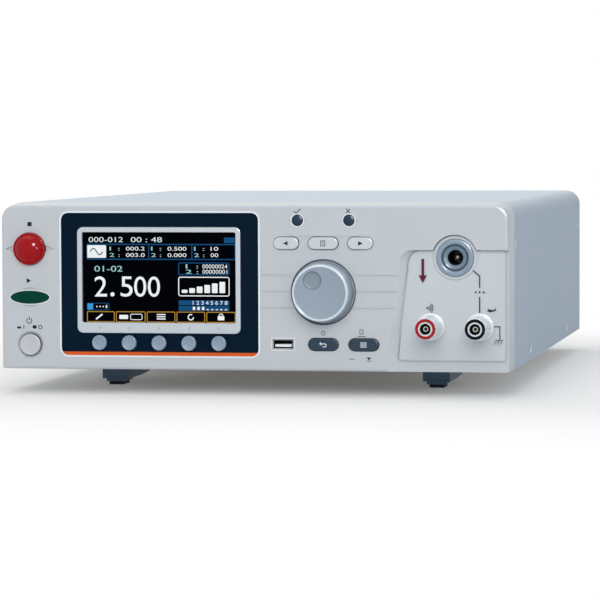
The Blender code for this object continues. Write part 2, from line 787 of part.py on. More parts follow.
def plate_outline(grow):
    """Edge of the terminal plate, wider by grow on every side."""
    lean_rate = (RECESS_LEAN + SLOPE_HEAD - SLOPE_FOOT) / RECESS_TOP
    low_z = PLATE_RISE - grow
    top = RECESS_TOP - 2 * GAP + grow
    side = STEP_X + SLOPE_FOOT + GAP - grow
    right = RIGHT_X - PLATE_SIDE_MARGIN + grow
    return filleted([
        (side + lean_rate * low_z, low_z, PLATE_RADIUS + grow),
        (right, low_z, PLATE_RADIUS + grow),
        (right, top, PLATE_RADIUS + grow),
        (side + lean_rate * top, top, RECESS_CORNER_RADIUS + grow),
    ], 5)


def panel_outline(grow):
    """Edge of the display panel and its strip together, wider by grow on every side."""
    return rectangle(PANEL_X - grow, PANEL_X + PANEL_WIDTH + grow, STRIP_RISE - grow,
                     PANEL_RISE + PANEL_HEIGHT + grow, PANEL_RADIUS + grow)


def frame_outline(grow):
    return rectangle(FRAME_X - grow, FRAME_X + FRAME_WIDTH + grow, FRAME_RISE - grow,
                     FRAME_RISE + FRAME_HEIGHT + grow, FRAME_RADIUS + grow)


def window_outline(grow):
    return rectangle(WINDOW_X - grow, WINDOW_X + WINDOW_WIDTH + grow, WINDOW_RISE - grow,
                     WINDOW_RISE + WINDOW_HEIGHT + grow, FRAME_OPENING_RADIUS)


def round_seat(x, z, diameter, clearance, sides=24):
    """Outline of a round hole that clears a piece of a diameter."""
    return circle(x, z, diameter + 2 * clearance, sides)


def post_places():
    return {
        "continuity": HV_X - POST_PITCH / 2,
        "return": HV_X + POST_PITCH / 2,
    }


def page_keys():
    """Name, middle and length of each pale key."""
    return (
        ("page_left_key", KEY_MIDDLE_X - PAGE_KEY_PITCH, SIDE_KEY_LENGTH),
        ("page_key", KEY_MIDDLE_X, PAGE_KEY_LENGTH),
        ("page_right_key", KEY_MIDDLE_X + PAGE_KEY_PITCH, SIDE_KEY_LENGTH),
    )


def lower_keys():
    return (
        ("escape_key", KEY_MIDDLE_X),
        ("utility_key", KEY_MIDDLE_X + LOWER_ROW_PITCH),
    )


def soft_key_places():
    return [FRAME_X + FRAME_WIDTH / 2 + (i - 2) * SOFT_KEY_PITCH for i in range(5)]


def lens_places():
    return (
        ("pass_lens", KEY_MIDDLE_X - LENS_PITCH / 2),
        ("fail_lens", KEY_MIDDLE_X + LENS_PITCH / 2),
    )


def bezel_openings():
    """Outlines of the holes that go right through the front, each cut to fit its piece."""
    holes = [window_outline(WINDOW_LAP + GAP)]
    holes += [round_seat(x, SOFT_KEY_RISE, SOFT_KEY_DIAMETER, SLIDE_GAP, 14) for x in soft_key_places()]
    holes.append(round_seat(CONTROL_X, STOP_RISE, STOP_DIAMETER, SLIDE_GAP))
    holes.append(oval(CONTROL_X, START_RISE, START_LENGTH + 3 * SLIDE_GAP, START_HEIGHT + 2 * SLIDE_GAP))
    holes.append(round_seat(CONTROL_X, POWER_RISE, POWER_DIAMETER, SLIDE_GAP))
    for name, x, length in page_keys():
        holes.append(stadium(x, PAGE_KEY_RISE, length + 2 * SLIDE_GAP, PAGE_KEY_HEIGHT + 2 * SLIDE_GAP))
    for name, x in lower_keys():
        holes.append(stadium(x, LOWER_ROW_RISE, LOWER_KEY_LENGTH + 2 * SLIDE_GAP,
                             LOWER_KEY_HEIGHT + 2 * SLIDE_GAP))
    holes += [round_seat(x, LENS_RISE, LENS_DIAMETER, GAP, 16) for name, x in lens_places()]
    holes.append(circle(KEY_MIDDLE_X, KNOB_RISE, BUSH_HOLE_DIAMETER, 16))
    holes.append(rectangle(USB_X - USB_WIDTH / 2, USB_X + USB_WIDTH / 2,
                           LOWER_ROW_RISE - USB_HEIGHT / 2, LOWER_ROW_RISE + USB_HEIGHT / 2))
    holes.append(round_seat(HV_X, HV_RISE, HV_RING_DIAMETER, GAP))
    holes += [round_seat(x, POST_RISE, POST_SHANK_DIAMETER, GAP, 16) for x in post_places().values()]
    return holes


def make_front_bezel():
    """Moulded front: a drafted shell, its stepped terminal area, the seats in its face and its holes."""
    bezel = housing("front_bezel", (LEFT_X, 0, 0), (RIGHT_X, BEZEL_DEPTH, BODY_HEIGHT),
                    CORNER_RADIUS, FOOT_CORNER_RADIUS, BEZEL_DRAFT, FACE_FILLET)
    hollow = housing("hollow", (LEFT_X + BEZEL_WALL, FACE_WALL, BEZEL_WALL),
                     (RIGHT_X - BEZEL_WALL, BEZEL_DEPTH + OVERRUN, BODY_HEIGHT - BEZEL_WALL),
                     CORNER_RADIUS - BEZEL_WALL, 0, BEZEL_DRAFT, 0)
    cut(bezel, hollow, solver=MANY_CUTS)
    backing = block("backing", (STEP_X + GAP, FACE_WALL / 2, BEZEL_WALL / 2),
                    (RIGHT_X - BEZEL_WALL / 2, BACKING_DEPTH, RECESS_TOP + HV_BOSS_DIAMETER / 2))
    join(bezel, backing, solver=MANY_CUTS)
    recess = loft("recess", [
        (-OVERRUN, recess_outline(0, 0, 0)),
        (0, recess_outline(0, 0, 0)),
        (RECESS_DEPTH, recess_outline(SLOPE_FOOT, SLOPE_HEAD, GAP)),
    ])
    cut(bezel, recess, solver=MANY_CUTS)

    # Seats cut part of the way into the face: an outline and a depth
    band = rectangle(KEY_MIDDLE_X - PAGE_KEY_PITCH, KEY_MIDDLE_X + PAGE_KEY_PITCH,
                     PAGE_KEY_RISE - PAGE_BAND_HEIGHT / 2, PAGE_KEY_RISE + PAGE_BAND_HEIGHT / 2)
    seats = [
        (panel_outline(GAP), PANEL_POCKET),
        (plate_outline(GAP), PLATE_BACK + GAP),
        (almond(CONTROL_X, STOP_RISE, WING_LENGTH, WING_HEIGHT), WING_DEPTH),
        (circle(CONTROL_X, START_RISE, START_DISH_DIAMETER), START_DISH_DEPTH),
        (band, PAGE_BAND_DEPTH),
        (circle(KEY_MIDDLE_X, KNOB_RISE, KNOB_RECESS_DIAMETER, 30), KNOB_RECESS_DEPTH),
    ]
    power_dish = turned("power_dish", [
        (0, -OVERRUN),
        (POWER_DISH_DIAMETER / 2, -OVERRUN),
        (POWER_DISH_DIAMETER / 2, 0),
        (POWER_DIAMETER / 2 + GAP, POWER_DISH_DEPTH),
        (0, POWER_DISH_DEPTH),
    ], CONTROL_X, POWER_RISE)
    cut(bezel, power_dish, *[plate("seat", [outline], -OVERRUN, depth) for outline, depth in seats],
        solver=MANY_CUTS)

    boss_seat = plate("boss_seat", [round_seat(HV_X, HV_RISE, HV_BOSS_DIAMETER, GAP, 28)],
                      -OVERRUN, PLATE_BACK + GAP)
    grooves = []
    for i in (-1, 0, 1):
        level = KNOB_RISE + i * GROOVE_PITCH
        groove = rectangle(KEY_COLUMN_X + GROOVE_INSET, STEP_X + RECESS_LEAN,
                           level - GROOVE_WIDTH / 2, level + GROOVE_WIDTH / 2)
        grooves.append(plate("groove", [groove], -OVERRUN, GROOVE_DEPTH))
    cut(bezel, boss_seat, *grooves, solver=MANY_CUTS)
    cut(bezel, *[plate("hole", [outline], -OVERRUN, BACKING_DEPTH + OVERRUN) for outline in bezel_openings()],
        solver=MANY_CUTS)
    return seat(bezel, "front_bezel", face_plastic())


def make_display():
    """Dark panel with its strip, silver frame, window and the display module behind them."""
    back = PANEL_POCKET - GAP
    openings = [frame_outline(GAP)]
    openings += [round_seat(x, SOFT_KEY_RISE, SOFT_KEY_DIAMETER, SLIDE_GAP, 14) for x in soft_key_places()]
    low = (PANEL_X - LAP, -LAP, STRIP_RISE - LAP)
    high = (PANEL_X + PANEL_WIDTH + LAP, PANEL_POCKET, PANEL_RISE + PANEL_HEIGHT + LAP)
    panel = plate("panel", [panel_outline(0)], PANEL_SHADOW, back)
    cut(panel, block("below", low, (high[0], high[1], PANEL_RISE + GAP)))
    cut(panel, *[plate("opening", [outline], -LAP, PANEL_POCKET + LAP) for outline in openings])
    seat(panel, "display_panel", paint("navy_plastic", "071A2B", 0.3))

    strip = plate("strip", [panel_outline(0)], PANEL_SHADOW, back)
    cut(strip, block("above", (low[0], low[1], PANEL_RISE), high))
    seat(strip, "accent_strip", paint("orange_plastic", "D8541E", 0.4))

    frame = plate("frame", [frame_outline(0), window_outline(0)], -FRAME_PROUD, back)
    round_rim(frame, -FRAME_PROUD, FRAME_PROUD / 2)
    seat(frame, "display_frame", paint("silver_paint", "D9DDE2", 0.3, 0.4))

    window = plate("window", [window_outline(WINDOW_LAP)], PANEL_POCKET, FACE_WALL)
    seat(window, "display_window", paint("black_glass", "06090C", 0.1))

    front = FACE_WALL + GAP
    lap = WINDOW_LAP + LCD_LAP
    low_z = WINDOW_RISE - FRAME_LOWER_LIP + GAP
    high_z = WINDOW_RISE + WINDOW_HEIGHT + lap
    module = block("module", (WINDOW_X - lap, front, low_z),
                   (WINDOW_X + WINDOW_WIDTH + lap, front + LCD_THICKNESS, high_z))
    half = LCD_POST_WIDTH / 2
    posts = []
    for x in (WINDOW_X, WINDOW_X + WINDOW_WIDTH):
        for z in (low_z + LCD_POST_INSET, high_z - LCD_POST_INSET):
            posts.append(block("post", (x - half, front + LCD_THICKNESS - LAP, z - half),
                               (x + half, KEY_BOARD_DEPTH - GAP, z + half)))
    join(module, *posts)
    seat(module, "lcd_module", steel())


def make_key(name, outline, flange, proud, material, x, z, travel):
    """Key cap with a flange behind the wall and a post that reaches for its switch."""
    middle_depth = FLANGE_FRONT + KEY_FLANGE / 2
    half = CAP_POST_WIDTH / 2
    cap = plate(name, [outline], -proud, middle_depth)
    round_rim(cap, -proud, KEY_ROUNDING)
    join(cap, plate("lip", [flange], FLANGE_FRONT, FLANGE_FRONT + KEY_FLANGE))
    join(cap, block("post", (x - half, middle_depth, z - half),
                    (x + half, SWITCH_FRONT - travel - GAP, z + half)))
    seat(cap, name, material, (x, 0, z))


def key_flange(x, z, length, height):
    half_l = length / 2 + KEY_FLANGE
    half_h = height / 2 + KEY_FLANGE
    return rectangle(x - half_l, x + half_l, z - half_h, z + half_h)


def make_keys():
    for i, x in enumerate(soft_key_places()):
        make_key(f"soft_key_{i + 1}", circle(x, SOFT_KEY_RISE, SOFT_KEY_DIAMETER, 14),
                 round_seat(x, SOFT_KEY_RISE, SOFT_KEY_DIAMETER, KEY_FLANGE, 8), SOFT_KEY_PROUD,
                 paint("blue_grey_plastic", "8F9FB0", 0.4), x, SOFT_KEY_RISE, KEY_TRAVEL)
    for name, x, length in page_keys():
        make_key(name, stadium(x, PAGE_KEY_RISE, length, PAGE_KEY_HEIGHT),
                 key_flange(x, PAGE_KEY_RISE, length, PAGE_KEY_HEIGHT),
                 KEY_PROUD, pale_plastic(), x, PAGE_KEY_RISE, KEY_TRAVEL)
    for name, x in lower_keys():
        make_key(name, stadium(x, LOWER_ROW_RISE, LOWER_KEY_LENGTH, LOWER_KEY_HEIGHT),
                 key_flange(x, LOWER_ROW_RISE, LOWER_KEY_LENGTH, LOWER_KEY_HEIGHT),
                 KEY_PROUD, slate_plastic(), x, LOWER_ROW_RISE, KEY_TRAVEL)
    make_key("start_button", oval(CONTROL_X, START_RISE, START_LENGTH, START_HEIGHT),
             key_flange(CONTROL_X, START_RISE, START_LENGTH, START_HEIGHT),
             START_PROUD, paint("green_plastic", "0A5038", 0.4), CONTROL_X, START_RISE, START_TRAVEL)


def make_stop_button():
    """Domed cap in a round hole, held from behind by its flange."""
    radius = STOP_DIAMETER / 2
    dome_radius = (radius ** 2 + STOP_DOME ** 2) / (2 * STOP_DOME)
    spread = math.asin(radius / dome_radius)
    profile = []
    for i in range(STOP_DOME_STEPS):
        angle = spread * i / STOP_DOME_STEPS
        rise = dome_radius * math.cos(angle) - (dome_radius - STOP_DOME)
        profile.append((dome_radius * math.sin(angle), -STOP_SKIRT - rise))
    profile += [
        (radius, -STOP_SKIRT),
        (radius, FLANGE_FRONT),
        (radius + KEY_FLANGE, FLANGE_FRONT),
        (radius + KEY_FLANGE, FLANGE_FRONT + KEY_FLANGE),
        (STOP_POST_DIAMETER / 2, FLANGE_FRONT + KEY_FLANGE),
        (STOP_POST_DIAMETER / 2, SWITCH_FRONT - STOP_TRAVEL - GAP),
        (0, SWITCH_FRONT - STOP_TRAVEL - GAP),
    ]
    stop = turned("stop", profile, CONTROL_X, STOP_RISE, 22)
    seat(stop, "stop_button", paint("red_plastic", "B5202F", 0.25), (CONTROL_X, 0, STOP_RISE))


def make_power():
    """Round cap on a long rod that works the mains switch behind the key board."""
    radius = POWER_DIAMETER / 2
    rod = POWER_ROD_DIAMETER / 2
    rod_end = POWER_SWITCH_START + POWER_ROD_ENGAGED
    cap = turned("power", [
        (0, POWER_HOLLOW - POWER_PROUD),
        (radius - 2 * POWER_RIM, POWER_HOLLOW - POWER_PROUD),
        (radius - POWER_RIM, -POWER_PROUD),
        (radius, POWER_RIM - POWER_PROUD),
        (radius, FLANGE_FRONT),
        (radius + KEY_FLANGE, FLANGE_FRONT),
        (radius + KEY_FLANGE, FLANGE_FRONT + KEY_FLANGE),
        (rod, FLANGE_FRONT + KEY_FLANGE),
        (rod, rod_end),
        (0, rod_end),
    ], CONTROL_X, POWER_RISE, 20)
    seat(cap, "power_button", pale_plastic(), (CONTROL_X, 0, POWER_RISE))

    half = rod + GAP + POWER_SWITCH_WALL
    end = POWER_SWITCH_START + POWER_SWITCH_LENGTH
    switch = block("switch", (CONTROL_X - half, POWER_SWITCH_START, POWER_RISE - half),
                   (CONTROL_X + half, end, POWER_RISE + half))
    cut(switch, plate("bore", [round_seat(CONTROL_X, POWER_RISE, POWER_ROD_DIAMETER, GAP)],
                      POWER_SWITCH_START - OVERRUN, rod_end + POWER_TRAVEL + GAP))
    for left in (CONTROL_X - half, CONTROL_X + half - POWER_STAND):
        join(switch, block("stand", (left, POWER_SWITCH_START + POWER_SWITCH_WALL, FLOOR_TOP + GAP),
                           (left + POWER_STAND, end - POWER_SWITCH_WALL, POWER_RISE)))
    seat(switch, "power_switch", dark_plastic())


def dimple_cutter(x, z):
    """Ball with a straight stem in front of it, its lowest point at the dimple's floor."""
    ball = (DIMPLE_DIAMETER ** 2 / 4 + DIMPLE_DEPTH ** 2) / (2 * DIMPLE_DEPTH)
    floor = KNOB_HOLLOW - KNOB_REACH + DIMPLE_DEPTH
    profile = [(0, floor - 2 * ball), (ball, floor - 2 * ball)]
    for i in range(DIMPLE_STEPS):
        angle = math.pi / 2 * (1 - i / DIMPLE_STEPS)
        profile.append((ball * math.sin(angle), floor - ball + ball * math.cos(angle)))
    profile.append((0, floor))
    return turned("dimple", profile, x, z, 16)


def make_knob():
    """Jog knob with flutes round its side and a finger dimple, on the encoder's shaft."""
    radius = KNOB_DIAMETER / 2
    face_radius = KNOB_FACE_DIAMETER / 2
    back = KNOB_RECESS_DEPTH - GAP
    bore = SHAFT_DIAMETER / 2 + GAP
    knob = turned("knob", [
        (0, KNOB_HOLLOW - KNOB_REACH),
        (face_radius - KNOB_RIM, KNOB_HOLLOW - KNOB_REACH),
        (face_radius, -KNOB_REACH),
        (face_radius + KNOB_CHAMFER, KNOB_CHAMFER - KNOB_REACH),
        (radius, back - KNOB_SKIRT),
        (radius, back),
        (bore, back),
        (bore, back - KNOB_BORE_DEPTH),
        (0, back - KNOB_BORE_DEPTH),
    ], KEY_MIDDLE_X, KNOB_RISE, 30)
    orbit = radius + FLUTE_RADIUS - FLUTE_DEPTH
    flutes = []
    for i in range(FLUTES):
        angle = 2 * math.pi * (i + 0.5) / FLUTES
        outline = circle(KEY_MIDDLE_X + orbit * math.cos(angle), KNOB_RISE + orbit * math.sin(angle),
                         2 * FLUTE_RADIUS, 14)
        flutes.append(plate("flute", [outline], FLUTE_START - KNOB_REACH, back - FLUTE_START))
    cut(knob, *flutes)
    cut(knob, dimple_cutter(KEY_MIDDLE_X + DIMPLE_ORBIT * math.cos(DIMPLE_ANGLE),
                            KNOB_RISE + DIMPLE_ORBIT * math.sin(DIMPLE_ANGLE)))
    seat(knob, "jog_knob", paint("knob_plastic", "98A6B2", 0.4), (KEY_MIDDLE_X, 0, KNOB_RISE))

    shaft_front = back - KNOB_BORE_DEPTH + GAP
    shaft_back = KEY_BOARD_DEPTH - SHAFT_SEAT
    shaft = turned("shaft", [
        (0, shaft_front),
        (SHAFT_DIAMETER / 2, shaft_front),
        (SHAFT_DIAMETER / 2, shaft_back),
        (0, shaft_back),
    ], KEY_MIDDLE_X, KNOB_RISE, 16)
    seat(shaft, "encoder_shaft", steel(), (KEY_MIDDLE_X, 0, KNOB_RISE))
    make_encoder(shaft_back + GAP, bore)


def make_encoder(bore_end, bore):
    """Encoder on the key board, with a threaded bush's plain outside round the shaft."""
    half = ENCODER_WIDTH / 2
    front = KEY_BOARD_DEPTH - ENCODER_DEPTH
    body = block("body", (KEY_MIDDLE_X - half, front, KNOB_RISE - half),
                 (KEY_MIDDLE_X + half, KEY_BOARD_DEPTH - GAP, KNOB_RISE + half))
    cut(body, plate("bore", [circle(KEY_MIDDLE_X, KNOB_RISE, 2 * bore, 16)], front - OVERRUN, bore_end))
    join(body, turned("bush", [
        (bore + BUSH_WALL, FACE_WALL),
        (bore + BUSH_WALL, front + LAP),
        (bore, front + LAP),
        (bore, FACE_WALL),
    ], KEY_MIDDLE_X, KNOB_RISE, 16, ring=True))
    seat(body, "encoder_body", steel())


def make_lenses():
    radius = LENS_DIAMETER / 2
    for name, x in lens_places():
        lens = turned(name, [
            (0, -LENS_DOME),
            (radius * 0.6, -LENS_DOME * 0.8),
            (radius, 0),
            (radius, FLANGE_FRONT),
            (radius + LENS_FLANGE, FLANGE_FRONT),
            (radius + LENS_FLANGE, FLANGE_FRONT + LENS_FLANGE),
            (0, FLANGE_FRONT + LENS_FLANGE),
        ], x, LENS_RISE, 16)
        seat(lens, name, paint("smoked_lens", "33475A", 0.15))


def make_usb_socket():
    """Metal shell with a closed back and the contact tongue inside it."""
    half_w = USB_WIDTH / 2 - GAP
    half_h = USB_HEIGHT / 2 - GAP
    inner_w = half_w - USB_SHELL
    inner_h = half_h - USB_SHELL
    low_z = LOWER_ROW_RISE
    shell = plate("shell", [
        rectangle(USB_X - half_w, USB_X + half_w, low_z - half_h, low_z + half_h),
        rectangle(USB_X - inner_w, USB_X + inner_w, low_z - inner_h, low_z + inner_h),
    ], GAP, USB_DEPTH)
    join(shell, block("back", (USB_X - half_w, USB_DEPTH - LAP, low_z - half_h),
                      (USB_X + half_w, USB_DEPTH + LAP, low_z + half_h)))
    tongue_z = low_z - inner_h + USB_TONGUE_RISE
    tongue_w = inner_w - USB_TONGUE_INSET
    join(shell, block("tongue", (USB_X - tongue_w, GAP + USB_TONGUE_RECESS, tongue_z),
                      (USB_X + tongue_w, USB_DEPTH, tongue_z + USB_TONGUE)))
    seat(shell, "usb_socket", steel())


def make_terminal_panel():
    """Plate let into the stepped-back area, with a raised boss round the high-voltage socket."""
    outer = HV_BOSS_DIAMETER / 2
    front = PLATE_FRONT - HV_BOSS_PROUD
    panel = plate("panel", [plate_outline(0)], PLATE_FRONT, PLATE_BACK)
    join(panel, turned("boss", [
        (outer - HV_CHAMFER, front),
        (outer, front + HV_CHAMFER),
        (outer, PLATE_BACK),
        (outer - HV_BOSS_WIDTH, PLATE_BACK),
        (outer - HV_BOSS_WIDTH, front),
    ], HV_X, HV_RISE, 24, ring=True))
    holes = [round_seat(HV_X, HV_RISE, HV_RING_DIAMETER, GAP)]
    holes += [round_seat(x, POST_RISE, POST_SHANK_DIAMETER, GAP, 16) for x in post_places().values()]
    cut(panel, *[plate("hole", [outline], -OVERRUN, PLATE_BACK + OVERRUN) for outline in holes])
    seat(panel, "terminal_panel", paint("plate_plastic", "CDD2D5", 0.4))


def make_hv_socket():
    """Recessed high-voltage socket: a stepped ring round a deep bore with its contact at the bottom."""
    ring = HV_RING_DIAMETER / 2
    bore = HV_BORE_DIAMETER / 2
    collar = HV_COLLAR_DIAMETER / 2
    groove = collar + HV_GROOVE_WIDTH
    front = PLATE_FRONT - HV_RING_PROUD
    body = turned("socket", [
        (0, HV_BORE_DEPTH),
        (bore, HV_BORE_DEPTH),
        (bore, front + HV_FUNNEL_DEPTH),
        (collar, front + HV_COLLAR_DROP),
        (collar, front + HV_GROOVE_DEPTH),
        (groove, front + HV_GROOVE_DEPTH),
        (groove, front + HV_CHAMFER),
        (groove + HV_CHAMFER, front),
        (ring - HV_CHAMFER, front),
        (ring, front + HV_CHAMFER),
        (ring, HV_LENGTH),
        (0, HV_LENGTH),
    ], HV_X, HV_RISE, 24)
    seat(body, "hv_socket", paint("blue_grey_moulding", "9FB2C6", 0.35))

    radius = HV_CONTACT_DIAMETER / 2
    contact = turned("contact", [
        (0, HV_CONTACT_RECESS + CONTACT_HOLE_DEPTH),
        (radius / 2, HV_CONTACT_RECESS + CONTACT_HOLE_DEPTH),
        (radius / 2, HV_CONTACT_RECESS),
        (radius, HV_CONTACT_RECESS + CONTACT_CHAMFER),
        (radius, HV_BORE_DEPTH - GAP),
        (0, HV_BORE_DEPTH - GAP),
    ], HV_X, HV_RISE, 12)
    seat(contact, "hv_contact", brass())


def make_posts():
    """Two safety terminals: insulating sleeve, colour ring let into its tip, and inner contact."""
    bore = POST_BORE_DIAMETER / 2
    tip = POST_TIP_DIAMETER / 2
    waist = POST_WAIST_DIAMETER / 2
    base = POST_BASE_DIAMETER / 2
    shank = POST_SHANK_DIAMETER / 2
    ring_out = tip - POST_RIM
    ring_in = ring_out - POST_RING_WIDTH
    ring_floor = POST_TIP + POST_RING_DEPTH
    seat_face = PLATE_FRONT - GAP
    end = PLATE_FRONT + POST_SHANK_LENGTH
    ring_paints = {
        "continuity": paint("red_ring", "A81218", 0.35),
        "return": paint("black_ring", "101214", 0.35),
    }
    for name, x in post_places().items():
        sleeve = turned("sleeve", [
            (tip, POST_TIP + POST_RIM),
            (waist, seat_face - POST_WAIST_LENGTH),
            (waist, seat_face - POST_FLANGE - POST_RIM),
            (base, seat_face - POST_FLANGE),
            (base, seat_face),
            (shank, seat_face),
            (shank, end),
            (bore, end),
            (bore, POST_TIP),
            (ring_in - GAP, POST_TIP),
            (ring_in - GAP, ring_floor),
            (ring_out + RING_GAP, ring_floor),
            (ring_out + RING_GAP, POST_TIP + POST_RIM / 2),
        ], x, POST_RISE, 16, ring=True)
        seat(sleeve, name + "_sleeve", paint("white_insulator", "E4E8EA", 0.35))
        ring = turned("ring", [
            (ring_out, POST_TIP),
            (ring_out, ring_floor - GAP),
            (ring_in, ring_floor - GAP),
            (ring_in, POST_TIP),
        ], x, POST_RISE, 16, ring=True)
        seat(ring, name + "_ring", ring_paints[name])

        front = POST_TIP + POST_CONTACT_RECESS
        outer = bore - GAP
        contact = turned("contact", [
            (0, end),
            (outer - CONTACT_WALL, end),
            (outer - CONTACT_WALL, front),
            (outer, front + CONTACT_CHAMFER),
            (outer, end + POST_TAIL),
            (0, end + POST_TAIL),
        ], x, POST_RISE, 12)
        seat(contact, name + "_contact", brass())


def make_key_board():
    """Board behind the panel with a switch for each key and a lamp behind each lens."""
    low_x = LEFT_X + BEZEL_WALL + BEZEL_DRAFT + 2 * GAP
    high_x = STEP_X - BOARD_MARGIN
    low_z = BEZEL_WALL + 2 * GAP
    high_z = BODY_HEIGHT - BEZEL_WALL - BEZEL_DRAFT - 2 * GAP
    edge = filleted([
        (low_x, low_z, 0),
        (high_x, low_z, 0),
        (high_x, high_z, 0),
        (low_x, high_z, CORNER_RADIUS),
    ])
    rod_hole = circle(CONTROL_X, POWER_RISE, ROD_HOLE_DIAMETER)
    board = plate("board", [edge, rod_hole], KEY_BOARD_DEPTH, KEY_BOARD_DEPTH + BOARD_THICKNESS)
    keys = [(x, SOFT_KEY_RISE) for x in soft_key_places()]
    keys += [(x, PAGE_KEY_RISE) for name, x, length in page_keys()]
    keys += [(x, LOWER_ROW_RISE) for name, x in lower_keys()]
    keys += [(CONTROL_X, START_RISE), (CONTROL_X, STOP_RISE)]
    fitted = KEY_BOARD_DEPTH + LAP
    half = SWITCH_WIDTH / 2
    parts = [block("switch", (x - half, SWITCH_FRONT, z - half), (x + half, fitted, z + half))
             for x, z in keys]
    half = LAMP_WIDTH / 2
    lamp_front = FLANGE_FRONT + LENS_FLANGE + GAP
    parts += [block("lamp", (x - half, lamp_front, LENS_RISE - half), (x + half, fitted, LENS_RISE + half))
              for name, x in lens_places()]
    half = USB_SEAT_HEIGHT / 2
    reach = USB_WIDTH / 2 - LAP
    parts.append(block("usb_seat", (USB_X - reach, USB_DEPTH + LAP + GAP, LOWER_ROW_RISE - half),
                       (USB_X + reach, fitted, LOWER_ROW_RISE + half)))
    join(board, *parts)
    seat(board, "key_board", board_green())


def screw_places():
    """Depth and rise of each side screw."""
    return (
        FRONT_SCREW,
        (LOWER_SCREW_DEPTH, LOWER_SCREW_RISE),
        (BODY_DEPTH - LOWER_SCREW_INSET, LOWER_SCREW_RISE),
        REAR_SCREW,
    )


def side_drill(place, diameter, sides=8):
    """Cutter across the whole width at a side screw's place."""
    reach = RIGHT_X + OVERRUN
    return plate("drill", [circle(*place, diameter, sides)], -reach, reach, "side")


def make_top_cover():
    """Painted sheet bent over the top and down both sides."""
    inner = COVER_CORNER_RADIUS - SHEET
    edge = filleted([
        (LEFT_X, 0, 0),
        (LEFT_X + SHEET, 0, 0),
        (LEFT_X + SHEET, BODY_HEIGHT - SHEET, inner),
        (RIGHT_X - SHEET, BODY_HEIGHT - SHEET, inner),
        (RIGHT_X - SHEET, 0, 0),
        (RIGHT_X, 0, 0),
        (RIGHT_X, BODY_HEIGHT, COVER_CORNER_RADIUS),
        (LEFT_X, BODY_HEIGHT, COVER_CORNER_RADIUS),
    ], COVER_CORNER_STEPS)
    cover = plate("cover", [edge], COVER_FRONT, BODY_DEPTH)
    cut(cover, *[side_drill(place, SCREW_HEAD_DIAMETER + 2 * GAP, 10) for place in screw_places()])
    seat(cover, "top_cover", paint("cover_paint", "C6CBCF", 0.5))


def side_flange(name, side, front, back, low, high):
    """Upright strip of sheet just inside the cover, on the left (-1) or the right (1)."""
    edges = sorted((side * INSIDE_X, side * (INSIDE_X - SHEET)))
    return block(name, (edges[0], front, low), (edges[1], back, high))


def make_bottom_chassis():
    """Folded tray with side flanges, ears for the front and vent slots in its floor."""
    front = COVER_FRONT + GAP
    tray = plate("tray", [[
        (-INSIDE_X, GAP),
        (INSIDE_X, GAP),
        (INSIDE_X, TRAY_FLANGE),
        (INSIDE_X - SHEET, TRAY_FLANGE),
        (INSIDE_X - SHEET, FLOOR_TOP),
        (SHEET - INSIDE_X, FLOOR_TOP),
        (SHEET - INSIDE_X, TRAY_FLANGE),
        (-INSIDE_X, TRAY_FLANGE),
    ]], front, REAR_FRONT - GAP)
    ear_top = BODY_HEIGHT - COVER_CORNER_RADIUS - 2 * GAP
    join(tray, *[side_flange("ear", side, front, front + EAR_LENGTH, TRAY_FLANGE - LAP, ear_top)
                 for side in (-1, 1)], solver=MANY_CUTS)
    slots = []
    for x in SLOT_COLUMNS:
        for i in range(SLOT_ROWS):
            outline = stadium(x, SLOT_START + i * SLOT_PITCH, SLOT_LENGTH, SLOT_WIDTH, 2)
            slots.append(plate("slot", [outline], -OVERRUN, OVERRUN, "flat"))
    drills = [side_drill(place, SCREW_SHANK_DIAMETER + 2 * GAP) for place in screw_places()]
    cut(tray, *drills, *slots, solver=MANY_CUTS)
    seat(tray, "bottom_chassis", steel())


def output_places():
    return [(OUTPUT_X + i * OUTPUT_PITCH, rise) for rise in OUTPUT_RISES for i in range(OUTPUT_COLUMNS)]


def output_block_edges(grow):
    """Left, right, lower and upper edge of the output block's body."""
    half = OUTPUT_DIAMETER / 2 + grow
    return (OUTPUT_X - half, OUTPUT_X + (OUTPUT_COLUMNS - 1) * OUTPUT_PITCH + half,
            OUTPUT_RISES[0] - half, OUTPUT_RISES[-1] + half)


def port_outline(rise, grow):
    """Edge of a data port's shroud, wider at the top."""
    wide = PORT_SHROUD_WIDTH / 2 + grow
    narrow = wide - PORT_SHROUD_TAPER
    half = PORT_SHROUD_HEIGHT / 2 + grow
    return filleted([
        (PORT_X - narrow, rise - half, PORT_SHROUD_RADIUS),
        (PORT_X + narrow, rise - half, PORT_SHROUD_RADIUS),
        (PORT_X + wide, rise + half, PORT_SHROUD_RADIUS),
        (PORT_X - wide, rise + half, PORT_SHROUD_RADIUS),
    ], 3)


def rear_openings():
    """Holes in the rear panel, each cut to fit its piece."""
    inlet_w = INLET_BODY_WIDTH / 2 + GAP
    inlet_h = INLET_BODY_HEIGHT / 2 + GAP
    usb_w = USB_B_WIDTH / 2 + GAP
    usb_h = USB_B_HEIGHT / 2 + GAP
    return [
        circle(FAN_X, FAN_RISE, FAN_DUCT_DIAMETER),
        rectangle(INLET_X - inlet_w, INLET_X + inlet_w, INLET_RISE - inlet_h,
                  INLET_RISE + inlet_h + FUSE_DRAWER_HEIGHT),
        rectangle(PORT_X - usb_w, PORT_X + usb_w, USB_B_RISE - usb_h, USB_B_RISE + usb_h),
        rectangle(*output_block_edges(GAP)),
    ] + [port_outline(rise, GAP) for rise in PORT_RISES]


